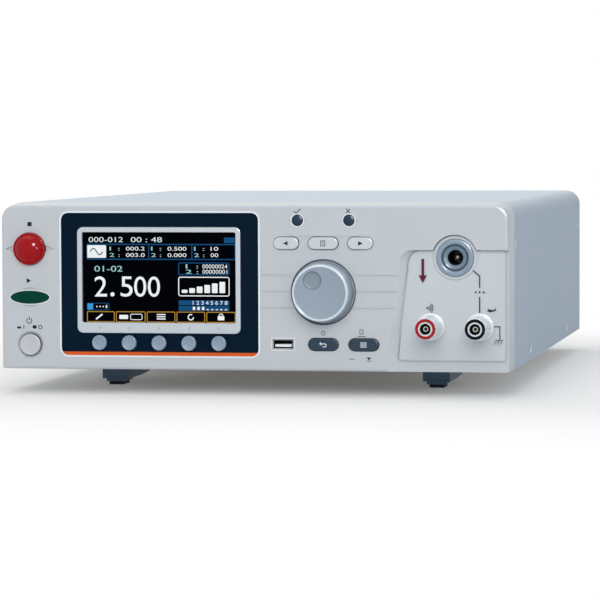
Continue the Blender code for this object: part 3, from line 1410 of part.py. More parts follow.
def make_rear_panel():
    """Rear sheet with its openings, and side flanges that take the rear screws."""
    radius = COVER_CORNER_RADIUS - SHEET - GAP
    high = BODY_HEIGHT - SHEET - GAP
    edge = filleted([
        (-INSIDE_X, GAP, 0),
        (INSIDE_X, GAP, 0),
        (INSIDE_X, high, radius),
        (-INSIDE_X, high, radius),
    ])
    panel = plate("panel", [edge] + rear_openings(), REAR_FRONT, REAR_BACK)
    join(panel, *[side_flange("flange", side, REAR_SCREW[0] - REAR_FLANGE_MARGIN, REAR_BACK - REAR_SHEET / 2,
                              TRAY_FLANGE + REAR_FLANGE_MARGIN, high - radius - GAP) for side in (-1, 1)],
         solver=MANY_CUTS)
    cut(panel, side_drill(REAR_SCREW, SCREW_SHANK_DIAMETER + 2 * GAP))
    seat(panel, "rear_panel", paint("rear_paint", "C2C7CB", 0.5))


def make_front_foot(middle, label):
    """Moulded foot with a pocket for its tilt leg, and a rubber pad under its stepped front."""
    end = FOOT_START + FOOT_LENGTH
    shoulder = FOOT_STEP - FOOT_HEIGHT
    outline = filleted([
        (FOOT_START, 0, 0),
        (FOOT_START, shoulder, FOOT_ROUNDING),
        (FOOT_START + FOOT_FLAT_LENGTH, shoulder, 0),
        (end, -FOOT_TAIL_HEIGHT, FOOT_ROUNDING),
        (end, 0, 0),
    ], 3)
    foot = plate("foot", [outline], middle - FOOT_WIDTH / 2, middle + FOOT_WIDTH / 2, "side")
    half_step = FOOT_STEP_WIDTH / 2
    step = filleted([
        (middle - half_step, shoulder + LAP, 0),
        (middle - half_step, -FOOT_HEIGHT, FOOT_STEP / 2),
        (middle + half_step, -FOOT_HEIGHT, FOOT_STEP / 2),
        (middle + half_step, shoulder + LAP, 0),
    ], 3)
    join(foot, plate("step", [step], FOOT_START + FOOT_ROUNDING, FOOT_START + FOOT_BLOCK_LENGTH))
    half_pocket = LEG_WIDTH / 2 + SLIDE_GAP
    cut(foot, block("pocket", (middle - half_pocket, FOOT_START + FOOT_BLOCK_LENGTH, -FOOT_HEIGHT - OVERRUN),
                    (middle + half_pocket, end + OVERRUN, -FOOT_ROOF)))
    pin_reach = LEG_WIDTH / 2 + LEG_PIN_REACH
    cut(foot, plate("holes", [round_seat(LEG_PIVOT_DEPTH, -LEG_PIVOT_DROP, LEG_PIN_DIAMETER, GAP, 14)],
                    middle - pin_reach - GAP, middle + pin_reach + GAP, "side"))
    seat(foot, "front_foot_" + label, slate_plastic())
    half = PAD_WIDTH / 2
    pad = block("pad", (middle - half, FOOT_START + PAD_INSET, -FOOT_HEIGHT - PAD_HEIGHT),
                (middle + half, FOOT_START + FOOT_BLOCK_LENGTH - PAD_INSET, -FOOT_HEIGHT - PAD_SEAM))
    seat(pad, "foot_pad_" + label, black_rubber())


def make_tilt_leg(middle, label):
    """Fold-out leg on a cross pin, flush with the foot's tail when it is folded in."""
    tail = FOOT_START + FOOT_LENGTH - LEG_TAIL_INSET
    head = LEG_PIVOT_DEPTH - LEG_ROOT_RADIUS
    root = LEG_ROOT_RADIUS * 0.95
    outline = filleted([
        (head, LEG_ROOT_RADIUS - LEG_PIVOT_DROP, root),
        (tail, LEG_ROOT_RADIUS - LEG_PIVOT_DROP - LEG_TAPER, FOOT_ROUNDING),
        (tail, LEG_TAPER - FOOT_TAIL_HEIGHT, FOOT_ROUNDING),
        (head, -LEG_PIVOT_DROP - LEG_ROOT_RADIUS, root),
    ])
    leg = plate("leg", [outline], middle - LEG_WIDTH / 2, middle + LEG_WIDTH / 2, "side")
    pin_reach = LEG_WIDTH / 2 + LEG_PIN_REACH
    join(leg, plate("pin", [circle(LEG_PIVOT_DEPTH, -LEG_PIVOT_DROP, LEG_PIN_DIAMETER, 14)],
                    middle - pin_reach, middle + pin_reach, "side"))
    seat(leg, "tilt_leg_" + label, slate_plastic(), (middle, LEG_PIVOT_DEPTH, -LEG_PIVOT_DROP))


def make_feet():
    end = BODY_DEPTH - REAR_FOOT_INSET
    start = end - REAR_FOOT_LENGTH
    drop = -FOOT_HEIGHT - PAD_HEIGHT
    rear_outline = filleted([
        (start, 0, 0),
        (start + REAR_FOOT_TAPER, drop, FOOT_ROUNDING),
        (end - REAR_FOOT_TAPER, drop, FOOT_ROUNDING),
        (end, 0, 0),
    ], 2)
    for middle, label in ((-FOOT_SPREAD, "left"), (FOOT_SPREAD, "right")):
        make_front_foot(middle, label)
        make_tilt_leg(middle, label)
        foot = plate("foot", [rear_outline], middle - FOOT_WIDTH / 2, middle + FOOT_WIDTH / 2, "side")
        seat(foot, "rear_foot_" + label, black_rubber())


def make_fan():
    """Frame with duct and stator arms, and the bladed rotor on its hub."""
    half = FAN_SIZE / 2
    back = REAR_FRONT - GAP
    front = back - FAN_DEPTH
    duct = FAN_DUCT_DIAMETER / 2
    hub = FAN_HUB_DIAMETER / 2
    arm = FAN_ARM / 2
    reach = duct + LAP
    arm_front = front + FAN_ARM_INSET
    arm_back = front + STATOR_THICKNESS - FAN_ARM_INSET
    edge = rectangle(FAN_X - half, FAN_X + half, FAN_RISE - half, FAN_RISE + half, FAN_CORNER_RADIUS)
    frame = plate("frame", [edge, circle(FAN_X, FAN_RISE, 2 * duct)], front, back)
    stator = plate("stator", [circle(FAN_X, FAN_RISE, 2 * hub, 16)], front, front + STATOR_THICKNESS)
    for across, up in ((reach, arm), (arm, reach)):
        join(stator, block("arm", (FAN_X - across, arm_front, FAN_RISE - up),
                           (FAN_X + across, arm_back, FAN_RISE + up)))
    join(frame, stator)
    seat(frame, "fan_frame", dark_plastic())

    rotor_front = front + STATOR_THICKNESS + GAP
    rotor_back = back - LAP
    rotor = turned("rotor", [
        (0, rotor_front),
        (hub, rotor_front),
        (hub, rotor_back - FAN_HUB_CHAMFER),
        (hub - FAN_HUB_CHAMFER, rotor_back),
        (0, rotor_back),
    ], FAN_X, FAN_RISE, 16)
    middle = Vector((FAN_X, (rotor_front + rotor_back) / 2, FAN_RISE))
    span = duct - FAN_TIP_GAP - hub + FAN_HUB_CHAMFER
    chord = FAN_BLADE_CHORD / 2
    thick = FAN_BLADE_THICKNESS / 2
    outward = Matrix.Translation((hub - FAN_HUB_CHAMFER + span / 2, 0, 0))
    pitch = Matrix.Rotation(FAN_BLADE_PITCH, 4, "X")
    blades = []
    for i in range(FAN_BLADES):
        blade = block("blade", (-span / 2, -chord, -thick), (span / 2, chord, thick))
        turn = Matrix.Rotation(2 * math.pi * i / FAN_BLADES, 4, "Y")
        blade.data.transform(Matrix.Translation(middle) @ turn @ outward @ pitch)
        blades.append(blade)
    join(rotor, *blades)
    seat(rotor, "fan_rotor", dark_plastic(), middle)


def make_fan_guard():
    """Rings on two crossed spokes, in front of the rear panel's fan opening."""
    duct = FAN_DUCT_DIAMETER / 2
    spoke_front = REAR_BACK + GAP
    ring_front = spoke_front + GUARD_WIRE * 0.7
    spokes = []
    for angle in (math.pi / 4, 3 * math.pi / 4):
        reach = duct + GUARD_EAR
        spoke = block("spoke", (-reach, spoke_front, -GUARD_WIRE / 2),
                      (reach, spoke_front + GUARD_WIRE, GUARD_WIRE / 2))
        turn = Matrix.Rotation(angle, 4, "Y")
        spoke.data.transform(Matrix.Translation((FAN_X, 0, FAN_RISE)) @ turn)
        spokes.append(spoke)
    rings = []
    for i in range(GUARD_RINGS):
        radius = duct * (i + 1) / GUARD_RINGS
        rings.append(turned("ring", [
            (radius, ring_front),
            (radius, ring_front + GUARD_WIRE),
            (radius - GUARD_WIRE, ring_front + GUARD_WIRE),
            (radius - GUARD_WIRE, ring_front),
        ], FAN_X, FAN_RISE, 14, ring=True))
    guard = join(*spokes)
    join(guard, *rings)
    seat(guard, "fan_guard", steel())


def make_mains_inlet():
    """Appliance inlet: flanged body, cavity with three pins and the fuse drawer's flap above it."""
    half_w = INLET_BODY_WIDTH / 2
    half_h = INLET_BODY_HEIGHT / 2
    top = INLET_RISE + half_h + FUSE_DRAWER_HEIGHT
    face = REAR_OUTSIDE + INLET_FLANGE
    body = block("inlet", (INLET_X - half_w, REAR_FRONT - INLET_BODY_DEPTH, INLET_RISE - half_h),
                 (INLET_X + half_w, face, top))
    join(body, block("flange", (INLET_X - INLET_WIDTH / 2, REAR_OUTSIDE, INLET_RISE - INLET_HEIGHT / 2),
                     (INLET_X + INLET_WIDTH / 2, face, top + INLET_WALL)))
    inner_w = half_w - INLET_WALL
    inner_h = half_h - INLET_WALL
    mouth = filleted([
        (INLET_X - inner_w, INLET_RISE - inner_h, INLET_FOOT_RADIUS),
        (INLET_X + inner_w, INLET_RISE - inner_h, INLET_FOOT_RADIUS),
        (INLET_X + inner_w, INLET_RISE + inner_h, INLET_CORNER_RADIUS),
        (INLET_X - inner_w, INLET_RISE + inner_h, INLET_CORNER_RADIUS),
    ], 3)
    floor = face - INLET_CAVITY_DEPTH
    cut(body, plate("cavity", [mouth], floor, face + OVERRUN))
    flap = inner_w - LAP
    join(body, block("flap", (INLET_X - flap, REAR_OUTSIDE, INLET_RISE + half_h + LAP),
                     (INLET_X + flap, face + LAP, top - LAP)))
    half = PIN_WIDTH / 2
    pins = [block("pin", (INLET_X + i * PIN_PITCH - half, floor - LAP, INLET_RISE + z - PIN_WIDTH),
                  (INLET_X + i * PIN_PITCH + half, REAR_OUTSIDE - PIN_RECESS, INLET_RISE + z + PIN_WIDTH))
            for i, z in ((-1, -PIN_OFFSET), (0, PIN_OFFSET), (1, -PIN_OFFSET))]
    join(body, *pins)
    seat(body, "mains_inlet", dark_plastic())


def make_ports():
    """Two shrouded data ports and a square USB socket."""
    for rise, name in zip(PORT_RISES, ("signal_port", "serial_port")):
        port = block("port", (PORT_X - PORT_WIDTH / 2, REAR_OUTSIDE, rise - PORT_HEIGHT / 2),
                     (PORT_X + PORT_WIDTH / 2, REAR_OUTSIDE + PORT_FLANGE, rise + PORT_HEIGHT / 2))
        join(port, plate("shroud", [port_outline(rise, 0)], REAR_FRONT - PORT_BODY_DEPTH,
                         REAR_OUTSIDE + PORT_SHROUD_REACH))
        seat(port, name, steel())
    half_w = USB_B_WIDTH / 2
    half_h = USB_B_HEIGHT / 2
    usb = block("usb_b", (PORT_X - half_w, REAR_FRONT - USB_B_DEPTH, USB_B_RISE - half_h),
                (PORT_X + half_w, REAR_BACK + LAP, USB_B_RISE + half_h))
    half_w -= USB_B_WALL
    half_h -= USB_B_WALL
    cut(usb, block("slot", (PORT_X - half_w, REAR_FRONT - USB_B_DEPTH + USB_B_FLOOR, USB_B_RISE - half_h),
                   (PORT_X + half_w, REAR_BACK + OVERRUN, USB_B_RISE + half_h)))
    seat(usb, "usb_b_port", steel())


def make_output_block():
    """Moulded block of high-voltage output sockets, with a raised collar round each bore."""
    left, right, low, high = output_block_edges(0)
    base_back = REAR_OUTSIDE + OUTPUT_BASE
    body = block("body", (left, REAR_FRONT - OUTPUT_DEPTH, low), (right, base_back, high))
    join(body, plate("base", [rectangle(left - OUTPUT_LIP, right + OUTPUT_LIP, low - OUTPUT_LIP,
                                        high + OUTPUT_LIP, OUTPUT_LIP)], REAR_OUTSIDE, base_back))
    join(body, *[plate("collar", [circle(x, rise, OUTPUT_COLLAR_DIAMETER, 12)], base_back - LAP,
                       REAR_BACK + OUTPUT_REACH) for x, rise in output_places()])
    cut(body, *[plate("bore", [circle(x, rise, OUTPUT_BORE_DIAMETER, 10)],
                      REAR_FRONT - OUTPUT_DEPTH + OUTPUT_BASE, REAR_BACK + OUTPUT_REACH + OVERRUN)
                for x, rise in output_places()])
    seat(body, "output_block", paint("output_moulding", "2A2E33", 0.45))


def make_boards():
    """Main board on its posts, and the relay board behind the outputs."""
    low_x, high_x = MAIN_BOARD_X
    near = MAIN_BOARD_START
    far = BODY_DEPTH - MAIN_BOARD_REAR_INSET
    half = STANDOFF_WIDTH / 2
    board = block("board", (low_x, near, MAIN_BOARD_RISE), (high_x, far, MAIN_BOARD_RISE + BOARD_THICKNESS))
    posts = []
    for x in (low_x + STANDOFF_WIDTH, high_x - STANDOFF_WIDTH):
        for depth in (near + STANDOFF_WIDTH, (near + far) / 2, far - STANDOFF_WIDTH):
            posts.append(block("post", (x - half, depth - half, INSIDE_FLOOR),
                               (x + half, depth + half, MAIN_BOARD_RISE + BOARD_THICKNESS / 2)))
    join(board, *posts)
    seat(board, "main_board", board_green())

    front = BODY_DEPTH - RELAY_BOARD_INSET
    pitch = OUTPUT_PITCH * OUTPUT_COLUMNS / RELAY_COUNT
    left = OUTPUT_X - OUTPUT_PITCH / 2
    relay_board = block("relay_board", (left, front, INSIDE_FLOOR),
                        (left + pitch * RELAY_COUNT, front + BOARD_THICKNESS, RELAY_BOARD_TOP))
    half = RELAY_WIDTH / 2
    seated = front + BOARD_THICKNESS / 2
    relays = []
    for i in range(RELAY_COUNT):
        middle = left + (i + 0.5) * pitch
        relays.append(block("relay", (middle - half, front - RELAY_DEPTH, RELAY_RISE),
                            (middle + half, seated, RELAY_RISE + RELAY_HEIGHT)))
    join(relay_board, *relays)
    seat(relay_board, "scanner_board", board_green())


def make_heat_sink():
    """Extruded sink: a base with upright fins, standing on the main board."""
    low = MAIN_BOARD_RISE + BOARD_THICKNESS + GAP
    base = low + SINK_BASE
    top = low + SINK_HEIGHT
    pitch = (SINK_WIDTH - SINK_FIN) / (SINK_FINS - 1)
    left = SINK_X - SINK_WIDTH / 2
    outline = [(left, low), (left + SINK_WIDTH, low)]
    for i in reversed(range(SINK_FINS)):
        start = left + i * pitch
        if i < SINK_FINS - 1:
            outline.append((start + SINK_FIN, base))
        outline += [(start + SINK_FIN, top), (start, top)]
        if i > 0:
            outline.append((start, base))
    sink = plate("sink", [outline], SINK_DEPTH, SINK_DEPTH + SINK_LENGTH)
    seat(sink, "heat_sink", paint("raw_aluminium", "B4B7BA", 0.4, 1.0))


def make_transformers():
    """Ring-core mains transformer and the high-voltage transformer with its coil round a core."""
    outer = TOROID_DIAMETER / 2
    inner = TOROID_BORE_DIAMETER / 2
    rounding = TOROID_ROUNDING
    low = -INSIDE_FLOOR
    top = low - TOROID_HEIGHT
    toroid = turned("toroid", [
        (outer - rounding, top),
        (outer, top + rounding),
        (outer, low - rounding),
        (outer - rounding, low),
        (inner + rounding, low),
        (inner, low - rounding),
        (inner, top + rounding),
        (inner + rounding, top),
    ], TOROID_X, TOROID_DEPTH, 20, ring=True, plane="flat")
    seat(toroid, "mains_transformer", paint("winding_tape", "C79A3A", 0.6))

    size_x, size_y, size_z = HV_CORE_SIZE
    core = block("core", (HV_CORE_X - size_x / 2, HV_CORE_DEPTH - size_y / 6, INSIDE_FLOOR),
                 (HV_CORE_X + size_x / 2, HV_CORE_DEPTH + size_y / 6, INSIDE_FLOOR + size_z))
    join(core, block("coil", (HV_CORE_X - size_x / 4, HV_CORE_DEPTH - size_y / 2, INSIDE_FLOOR + size_z / 6),
                     (HV_CORE_X + size_x / 4, HV_CORE_DEPTH + size_y / 2, INSIDE_FLOOR + size_z * 5 / 6)))
    seat(core, "hv_transformer", paint("core_iron", "3A3D40", 0.6))


clear_scene()
PARTS = make_collection("hipot_tester")
CUTTERS = make_collection("cutters")
make_front_bezel()
make_display()
make_keys()
make_stop_button()
make_power()
make_knob()
make_lenses()
make_usb_socket()
make_terminal_panel()
make_hv_socket()
make_posts()
make_key_board()
make_top_cover()
make_bottom_chassis()
make_rear_panel()
make_feet()
make_fan()
make_fan_guard()
make_mains_inlet()
make_ports()
make_output_block()
make_boards()
make_heat_sink()
make_transformers()
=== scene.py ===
"""Hipot tester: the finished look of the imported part, in metres, in the part's own frame.

X runs to the right as seen from the front, +Y from the front panel to the back, +Z up.
Panel places are given in millimetres as (across, depth back from the face, rise from the underside).
"""

from math import cos, pi, radians, sin, sqrt

import bmesh
import bpy
from mathutils import Matrix, Vector


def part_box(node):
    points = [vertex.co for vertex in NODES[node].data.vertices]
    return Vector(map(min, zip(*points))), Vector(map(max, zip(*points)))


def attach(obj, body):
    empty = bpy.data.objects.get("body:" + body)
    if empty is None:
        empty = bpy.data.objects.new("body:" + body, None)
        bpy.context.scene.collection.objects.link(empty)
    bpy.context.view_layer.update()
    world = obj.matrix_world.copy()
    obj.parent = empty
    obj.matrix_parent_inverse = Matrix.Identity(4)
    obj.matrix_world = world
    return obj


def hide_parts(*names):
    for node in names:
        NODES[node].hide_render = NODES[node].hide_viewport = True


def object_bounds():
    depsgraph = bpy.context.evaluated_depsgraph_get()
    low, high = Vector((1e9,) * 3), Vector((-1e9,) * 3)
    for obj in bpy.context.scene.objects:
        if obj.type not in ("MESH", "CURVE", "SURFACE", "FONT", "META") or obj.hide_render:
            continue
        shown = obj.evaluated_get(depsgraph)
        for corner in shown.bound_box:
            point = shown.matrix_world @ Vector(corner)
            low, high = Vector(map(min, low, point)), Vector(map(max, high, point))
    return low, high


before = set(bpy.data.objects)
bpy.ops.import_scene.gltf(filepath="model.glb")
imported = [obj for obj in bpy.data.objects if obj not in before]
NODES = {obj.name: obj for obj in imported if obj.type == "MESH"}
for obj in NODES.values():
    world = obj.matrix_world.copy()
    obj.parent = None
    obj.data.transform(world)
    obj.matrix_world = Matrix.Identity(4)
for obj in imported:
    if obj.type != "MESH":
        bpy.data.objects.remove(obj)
CAD_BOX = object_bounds()
MM = 0.001
WELD = 0.000001
HOUSING = "housing"
SCENE = bpy.context.scene
FACE_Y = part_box("front_bezel")[0].y
GROUND_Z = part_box("front_bezel")[0].z

# Camera, solved from the photograph's edges of the housing
CAMERA_PLACE = Vector((0.37863, -2.11788, 0.15805))
CAMERA_YAW = 0.1813
CAMERA_PITCH = 0.051
CAMERA_ROLL = -0.0037
FOCAL_PIXELS = 3131.36
PICTURE_PIXELS = 600
SENSOR = 36.0
# Metres inside and outside the part's outline between which the floor's shadow fades to white
SHADOW_FADE = (-0.12, 0.3)

# The knob's flutes and finger dimple, in millimetres and radians
KNOB_FLUTES = 12
KNOB_FLUTE_ORBIT = 25.35
DIMPLE_ORBIT = 9.0
DIMPLE_ANGLE = radians(121)
# The stop button's dome, in millimetres and radians
DOME_RADIUS = 8.7
DOME_HEIGHT = 4.6
DOME_SPREAD = radians(58)
DOME_STEPS = 14
# Gap round a cap, and the flange that holds the cap behind the wall
KEY_GAP = 0.33
KEY_FLANGE = 0.9
# Fan guard: wire thickness, pitch of its rings and length of its rods from the middle
GUARD_WIRE = 1.6
GUARD_PITCH = 7.0
GUARD_RINGS = 4
GUARD_REACH = 35.0
# Middles of the rear fittings, across and rise
PORT_ACROSS = -78.0
INLET_ACROSS, INLET_RISE = -128.0, 34.0
EARTH_ACROSS, EARTH_RISE = -128.0, 70.0
OPTION_RISE = 78.7

# Thickness of printed ink and of the lit marks on the screen
INK = 0.06
LIT = 0.05
# Share of their light that the dimmer pixel rows give
DIM_ROWS = 0.86
# Brushed metal: half the swing of its polish, and the strength and depth in mm of its lines
METAL_POLISH = 0.07
LINE_STRENGTH = 0.6
LINE_RELIEF = 0.01
WINDOW_FRONT = (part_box("display_window")[0].y - FACE_Y) / MM
PLATE_FRONT = (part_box("terminal_panel")[0].y - FACE_Y) / MM
FRAME_FRONT = (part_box("display_frame")[0].y - FACE_Y) / MM
SCREEN_FRONT = WINDOW_FRONT - LIT
REAR = (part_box("rear_panel")[1].y - FACE_Y) / MM

FACING_FRONT = Matrix.Rotation(radians(90), 4, "X")
FACING_BACK = Matrix.Rotation(radians(-90), 4, "X")
FACING_RIGHT = Matrix.Rotation(radians(90), 4, "Y")
FACING_LEFT = Matrix.Rotation(radians(-90), 4, "Y")
HALF_TURN = Matrix.Rotation(radians(180), 4, "Z")


def place(across, depth, rise):
    """A panel place in millimetres as a world point."""
    return Vector((across * MM, FACE_Y + depth * MM, GROUND_Z + rise * MM))


def linear(code):
    """An sRGB hex colour as linear red, green, blue and alpha."""
    channels = [int(code[i:i + 2], 16) / 255 for i in (1, 3, 5)]
    return tuple(c / 12.92 if c <= 0.04045 else ((c + 0.055) / 1.055) ** 2.4 for c in channels) + (1.0,)


def per_metre(size):
    """The scale of a pattern on object coordinates whose grain is this many millimetres wide."""
    return 1.0 / (size * MM)


def add_node(tree, kind, settings=(), links=()):
    """Adds a shader node, sets its properties or sockets, and links sockets into it."""
    made = tree.nodes.new("ShaderNode" + kind)
    for name, value in dict(settings).items():
        if isinstance(name, str) and hasattr(made, name):
            setattr(made, name, value)
        else:
            made.inputs[name].default_value = value
    for name, socket in dict(links).items():
        tree.links.new(socket, made.inputs[name])
    return made


def started(name, **values):
    """A new material with these shader values, and its node tree, shader and object coordinates."""
    material = bpy.data.materials.new(name)
    material.use_nodes = True
    tree = material.node_tree
    shader = tree.nodes["Principled BSDF"]
    for socket, value in values.items():
        shader.inputs[socket.replace("_", " ")].default_value = value
    return material, tree, shader, add_node(tree, "TexCoord").outputs["Object"]


def dressed(tree, shader, drift, skin, colours, roughness, polish, strength, relief):
    """Drives the colour from one pattern, and the polish and the relief from another."""
    ends = {"data_type": "RGBA", 6: linear(colours[0]), 7: linear(colours[1])}
    mixed = add_node(tree, "Mix", ends, {0: drift.outputs["Fac"]})
    tree.links.new(mixed.outputs[2], shader.inputs["Base Color"])
    swing = {"To Min": roughness - polish, "To Max": roughness + polish}
    gloss = add_node(tree, "MapRange", swing, {"Value": skin.outputs["Fac"]})
    tree.links.new(gloss.outputs["Result"], shader.inputs["Roughness"])
    height = {"Strength": strength, "Distance": relief * MM}
    bump = add_node(tree, "Bump", height, {"Height": skin.outputs["Fac"]})
    tree.links.new(bump.outputs["Normal"], shader.inputs["Normal"])


def grained(name, colour, shade, roughness, grain, relief, patch=30.0, polish=0.06, specular=0.5, **more):
    """A surface with a fine relief, slow colour drift and uneven polish, all from real sizes in mm."""
    material, tree, shader, spot = started(name, Specular_IOR_Level=specular, **more)
    drift = add_node(tree, "TexNoise", {"Scale": per_metre(patch), "Detail": 3.0}, {"Vector": spot})
    skin = add_node(tree, "TexNoise", {"Scale": per_metre(grain), "Detail": 4.0}, {"Vector": spot})
    dressed(tree, shader, drift, skin, (colour, shade), roughness, polish, 1.0, relief)
    return material


def brushed(name, colour, shade, roughness, stretch, line):
    """A metal with fine straight tool lines along one axis, spaced in mm."""
    material, tree, shader, spot = started(name, Metallic=1.0)
    scale = [per_metre(line) * share for share in stretch]
    turned = add_node(tree, "Mapping", {"Scale": scale}, {"Vector": spot})
    lines = add_node(tree, "TexNoise", {"Scale": 1.0, "Detail": 3.0}, {"Vector": turned.outputs[0]})
    dressed(tree, shader, lines, lines, (colour, shade), roughness, METAL_POLISH, LINE_STRENGTH, LINE_RELIEF)
    return material


def lit(name, colour, strength):
    """Lit screen segments: the colour comes from the backlight, with the pixel rows' slight unevenness."""
    material, tree, shader, spot = started(
        name, Base_Color=(0.0, 0.0, 0.0, 1.0), Roughness=0.3, Specular_IOR_Level=0.01,
        Emission_Strength=strength,
    )
    rows = add_node(tree, "TexNoise", {"Scale": per_metre(6.0), "Detail": 2.0}, {"Vector": spot})
    dimmed = tuple(DIM_ROWS * c for c in linear(colour)[:3]) + (1.0,)
    ends = {"data_type": "RGBA", 6: linear(colour), 7: dimmed}
    mixed = add_node(tree, "Mix", ends, {0: rows.outputs["Fac"]})
    tree.links.new(mixed.outputs[2], shader.inputs["Emission Color"])
    return material


# Injection-moulded ABS with a spark-eroded texture: soft sheen, a faint pebble in raking light
FACE_ABS = grained("moulded_abs_light_grey", "#BBBFC2", "#B6BABE", 0.38, 0.9, 0.010)
CAP_ABS = grained("moulded_abs_key_pale", "#C6CACC", "#C0C4C7", 0.34, 0.8, 0.006, 12.0)
BUTTON_ABS = grained("moulded_abs_button_pale", "#BCBEC1", "#B6B8BC", 0.34, 0.8, 0.006, 12.0)
SLATE_ABS = grained("moulded_abs_slate", "#1E3446", "#1B3041", 0.4, 0.8, 0.006, 12.0, specular=0.3)
KNOB_ABS = grained("moulded_abs_blue_grey", "#8E9BA7", "#8895A2", 0.32, 0.8, 0.006, 18.0)
# Darker than the knob: painted shade in the finger dimple, with a coarser pebble
DIMPLE_SHADE_ABS = grained("pebbled_abs_painted_shade", "#7F8C98", "#74818D", 0.4, 0.7, 0.05, 4.0)
SOFT_ABS = grained("moulded_abs_soft_key", "#8496A8", "#7E90A2", 0.3, 0.6, 0.004, 8.0)
# Pale beads and rims round the panel, buttons, lenses and USB socket: lighter than the face as a painted
# highlight on their edges
PALE_HIGHLIGHT_ABS = grained("abs_bead_painted_highlight", "#E2E6E9", "#DCE0E4", 0.36, 0.8, 0.006, 20.0)
# Lighter than the knob: painted highlight on the rim of the knob's face and down its wall
KNOB_RIM_HIGHLIGHT = grained("abs_knob_rim_painted_highlight", "#CFD8E1", "#C8D1DB", 0.26, 0.6, 0.004, 8.0)
# Dark grey: painted shade in the gap between the knob and its recess
KNOB_GAP_SHADE = grained("painted_shade_knob_recess", "#5F6A73", "#58636C", 0.5, 0.8, 0.006, 8.0, specular=0.2)
# A little darker than the plate: painted shade in the seam round the terminal plate
SEAM_SHADE_ABS = grained("painted_shade_plate_seam", "#AEB4B9", "#A8AEB4", 0.5, 0.8, 0.006, 8.0)
RED_ABS = grained("polished_abs_red", "#A10A14", "#970912", 0.1, 2.0, 0.0002, 10.0, 0.02, specular=0.14)
GREEN_ABS = grained("polished_abs_green", "#013D2F", "#01382A", 0.24, 1.0, 0.003, 10.0, 0.04, specular=0.05)
FOOT_ABS = grained("moulded_abs_foot", "#4E6D84", "#48657B", 0.5, 1.0, 0.012, 20.0)
# Screen-printed polycarbonate film: flat, satin, darker than the moulding
NAVY_FILM = grained(
    "printed_polycarbonate_navy", "#04192A", "#031525", 0.45, 1.2, 0.004, 40.0, 0.05, specular=0.03
)
ORANGE_FILM = grained(
    "printed_polycarbonate_orange", "#D95A1C", "#D0551A", 0.4, 1.2, 0.004, 25.0, 0.05, specular=0.15
)
# Silver lacquer on moulded ABS: fine flake, satin clear coat
SILVER_LACQUER = grained(
    "silver_lacquer", "#BDC3C9", "#B7BDC4", 0.32, 0.5, 0.004, 25.0, 0.05, Metallic=0.3, Coat_Weight=0.15
)
# Tinted acrylic with an anti-glare coat over the display
WINDOW_ACRYLIC = grained("tinted_acrylic", "#010206", "#010105", 0.3, 2.0, 0.001, 60.0, 0.03, specular=0.01)
# Powder-coated sheet steel: fine orange peel
COVER_PAINT = grained("powder_coated_steel", "#C3CCD4", "#BEC7D0", 0.7, 1.6, 0.02, 60.0, specular=0.04)
REAR_PAINT = grained("powder_coated_rear_panel", "#BAC0C6", "#B5BBC1", 0.5, 1.6, 0.02, 60.0)
PLATE_ABS = grained("moulded_abs_terminal_plate", "#BEC3C7", "#BABFC3", 0.44, 0.9, 0.008)
INSULATOR = grained("moulded_nylon_white", "#DDE1E4", "#D6DADE", 0.3, 0.8, 0.004, 10.0)
HV_NYLON = grained("moulded_nylon_blue_grey", "#8395A6", "#7C8E9F", 0.28, 0.8, 0.004, 12.0)
# Darker than the socket's shell: painted shade on its inner collar, of the same moulding
COLLAR_SHADE_NYLON = grained("nylon_collar_painted_shade", "#6F8293", "#687B8C", 0.3, 0.8, 0.004, 8.0, 0.04)
# Dark slate: painted shade in the groove between the socket's shell and collar
GROOVE_SHADE_NYLON = grained("painted_shade_nylon_groove", "#465666", "#40505F", 0.4, 0.8, 0.004, 8.0, 0.04)
TONGUE_NYLON = grained("moulded_nylon_tongue", "#E6E9EB", "#DFE3E6", 0.4, 0.8, 0.004, 6.0)
RED_NYLON = grained("moulded_nylon_red", "#A00D14", "#960B12", 0.34, 0.8, 0.004, 6.0, specular=0.25)
# Black nylon parts; also the linings in the bores and the USB socket, which are painted shade
NYLON_BLACK_AND_SHADE = grained("black_nylon_and_painted_shade", "#0B0E11", "#090B0E", 0.44, 0.9, 0.01, 15.0, specular=0.08)
SMOKED_LENS = grained(
    "smoked_polycarbonate", "#1C3347", "#192E40", 0.3, 1.0, 0.0003, 4.0, 0.03, specular=0.25
)
# Black rubber feet; also the rings seen in the gaps round the keys and buttons, which are painted shade
RUBBER_BLACK_AND_GAP_SHADE = grained("black_rubber_and_painted_shade", "#16191C", "#121417", 0.72, 0.7, 0.03, 15.0, specular=0.3)
# Etched glass-epoxy board under solder resist
BOARD_GREEN = grained("solder_resist_green", "#0C4A2C", "#0A4026", 0.34, 2.5, 0.02, 14.0)
# Darker than yellow winding tape: painted shade for the dark inside of the housing
TAPE_PAINTED_SHADE = grained("winding_tape_painted_shade", "#7D6A3A", "#6E5C30", 0.4, 3.0, 0.05, 18.0)
CORE_IRON = grained("lacquered_core_steel", "#3A3D40", "#303336", 0.5, 0.8, 0.03, 12.0, Metallic=0.6)
OUTPUT_NYLON = grained("moulded_nylon_charcoal", "#1E2226", "#1A1E22", 0.4, 0.9, 0.01, 15.0, specular=0.35)
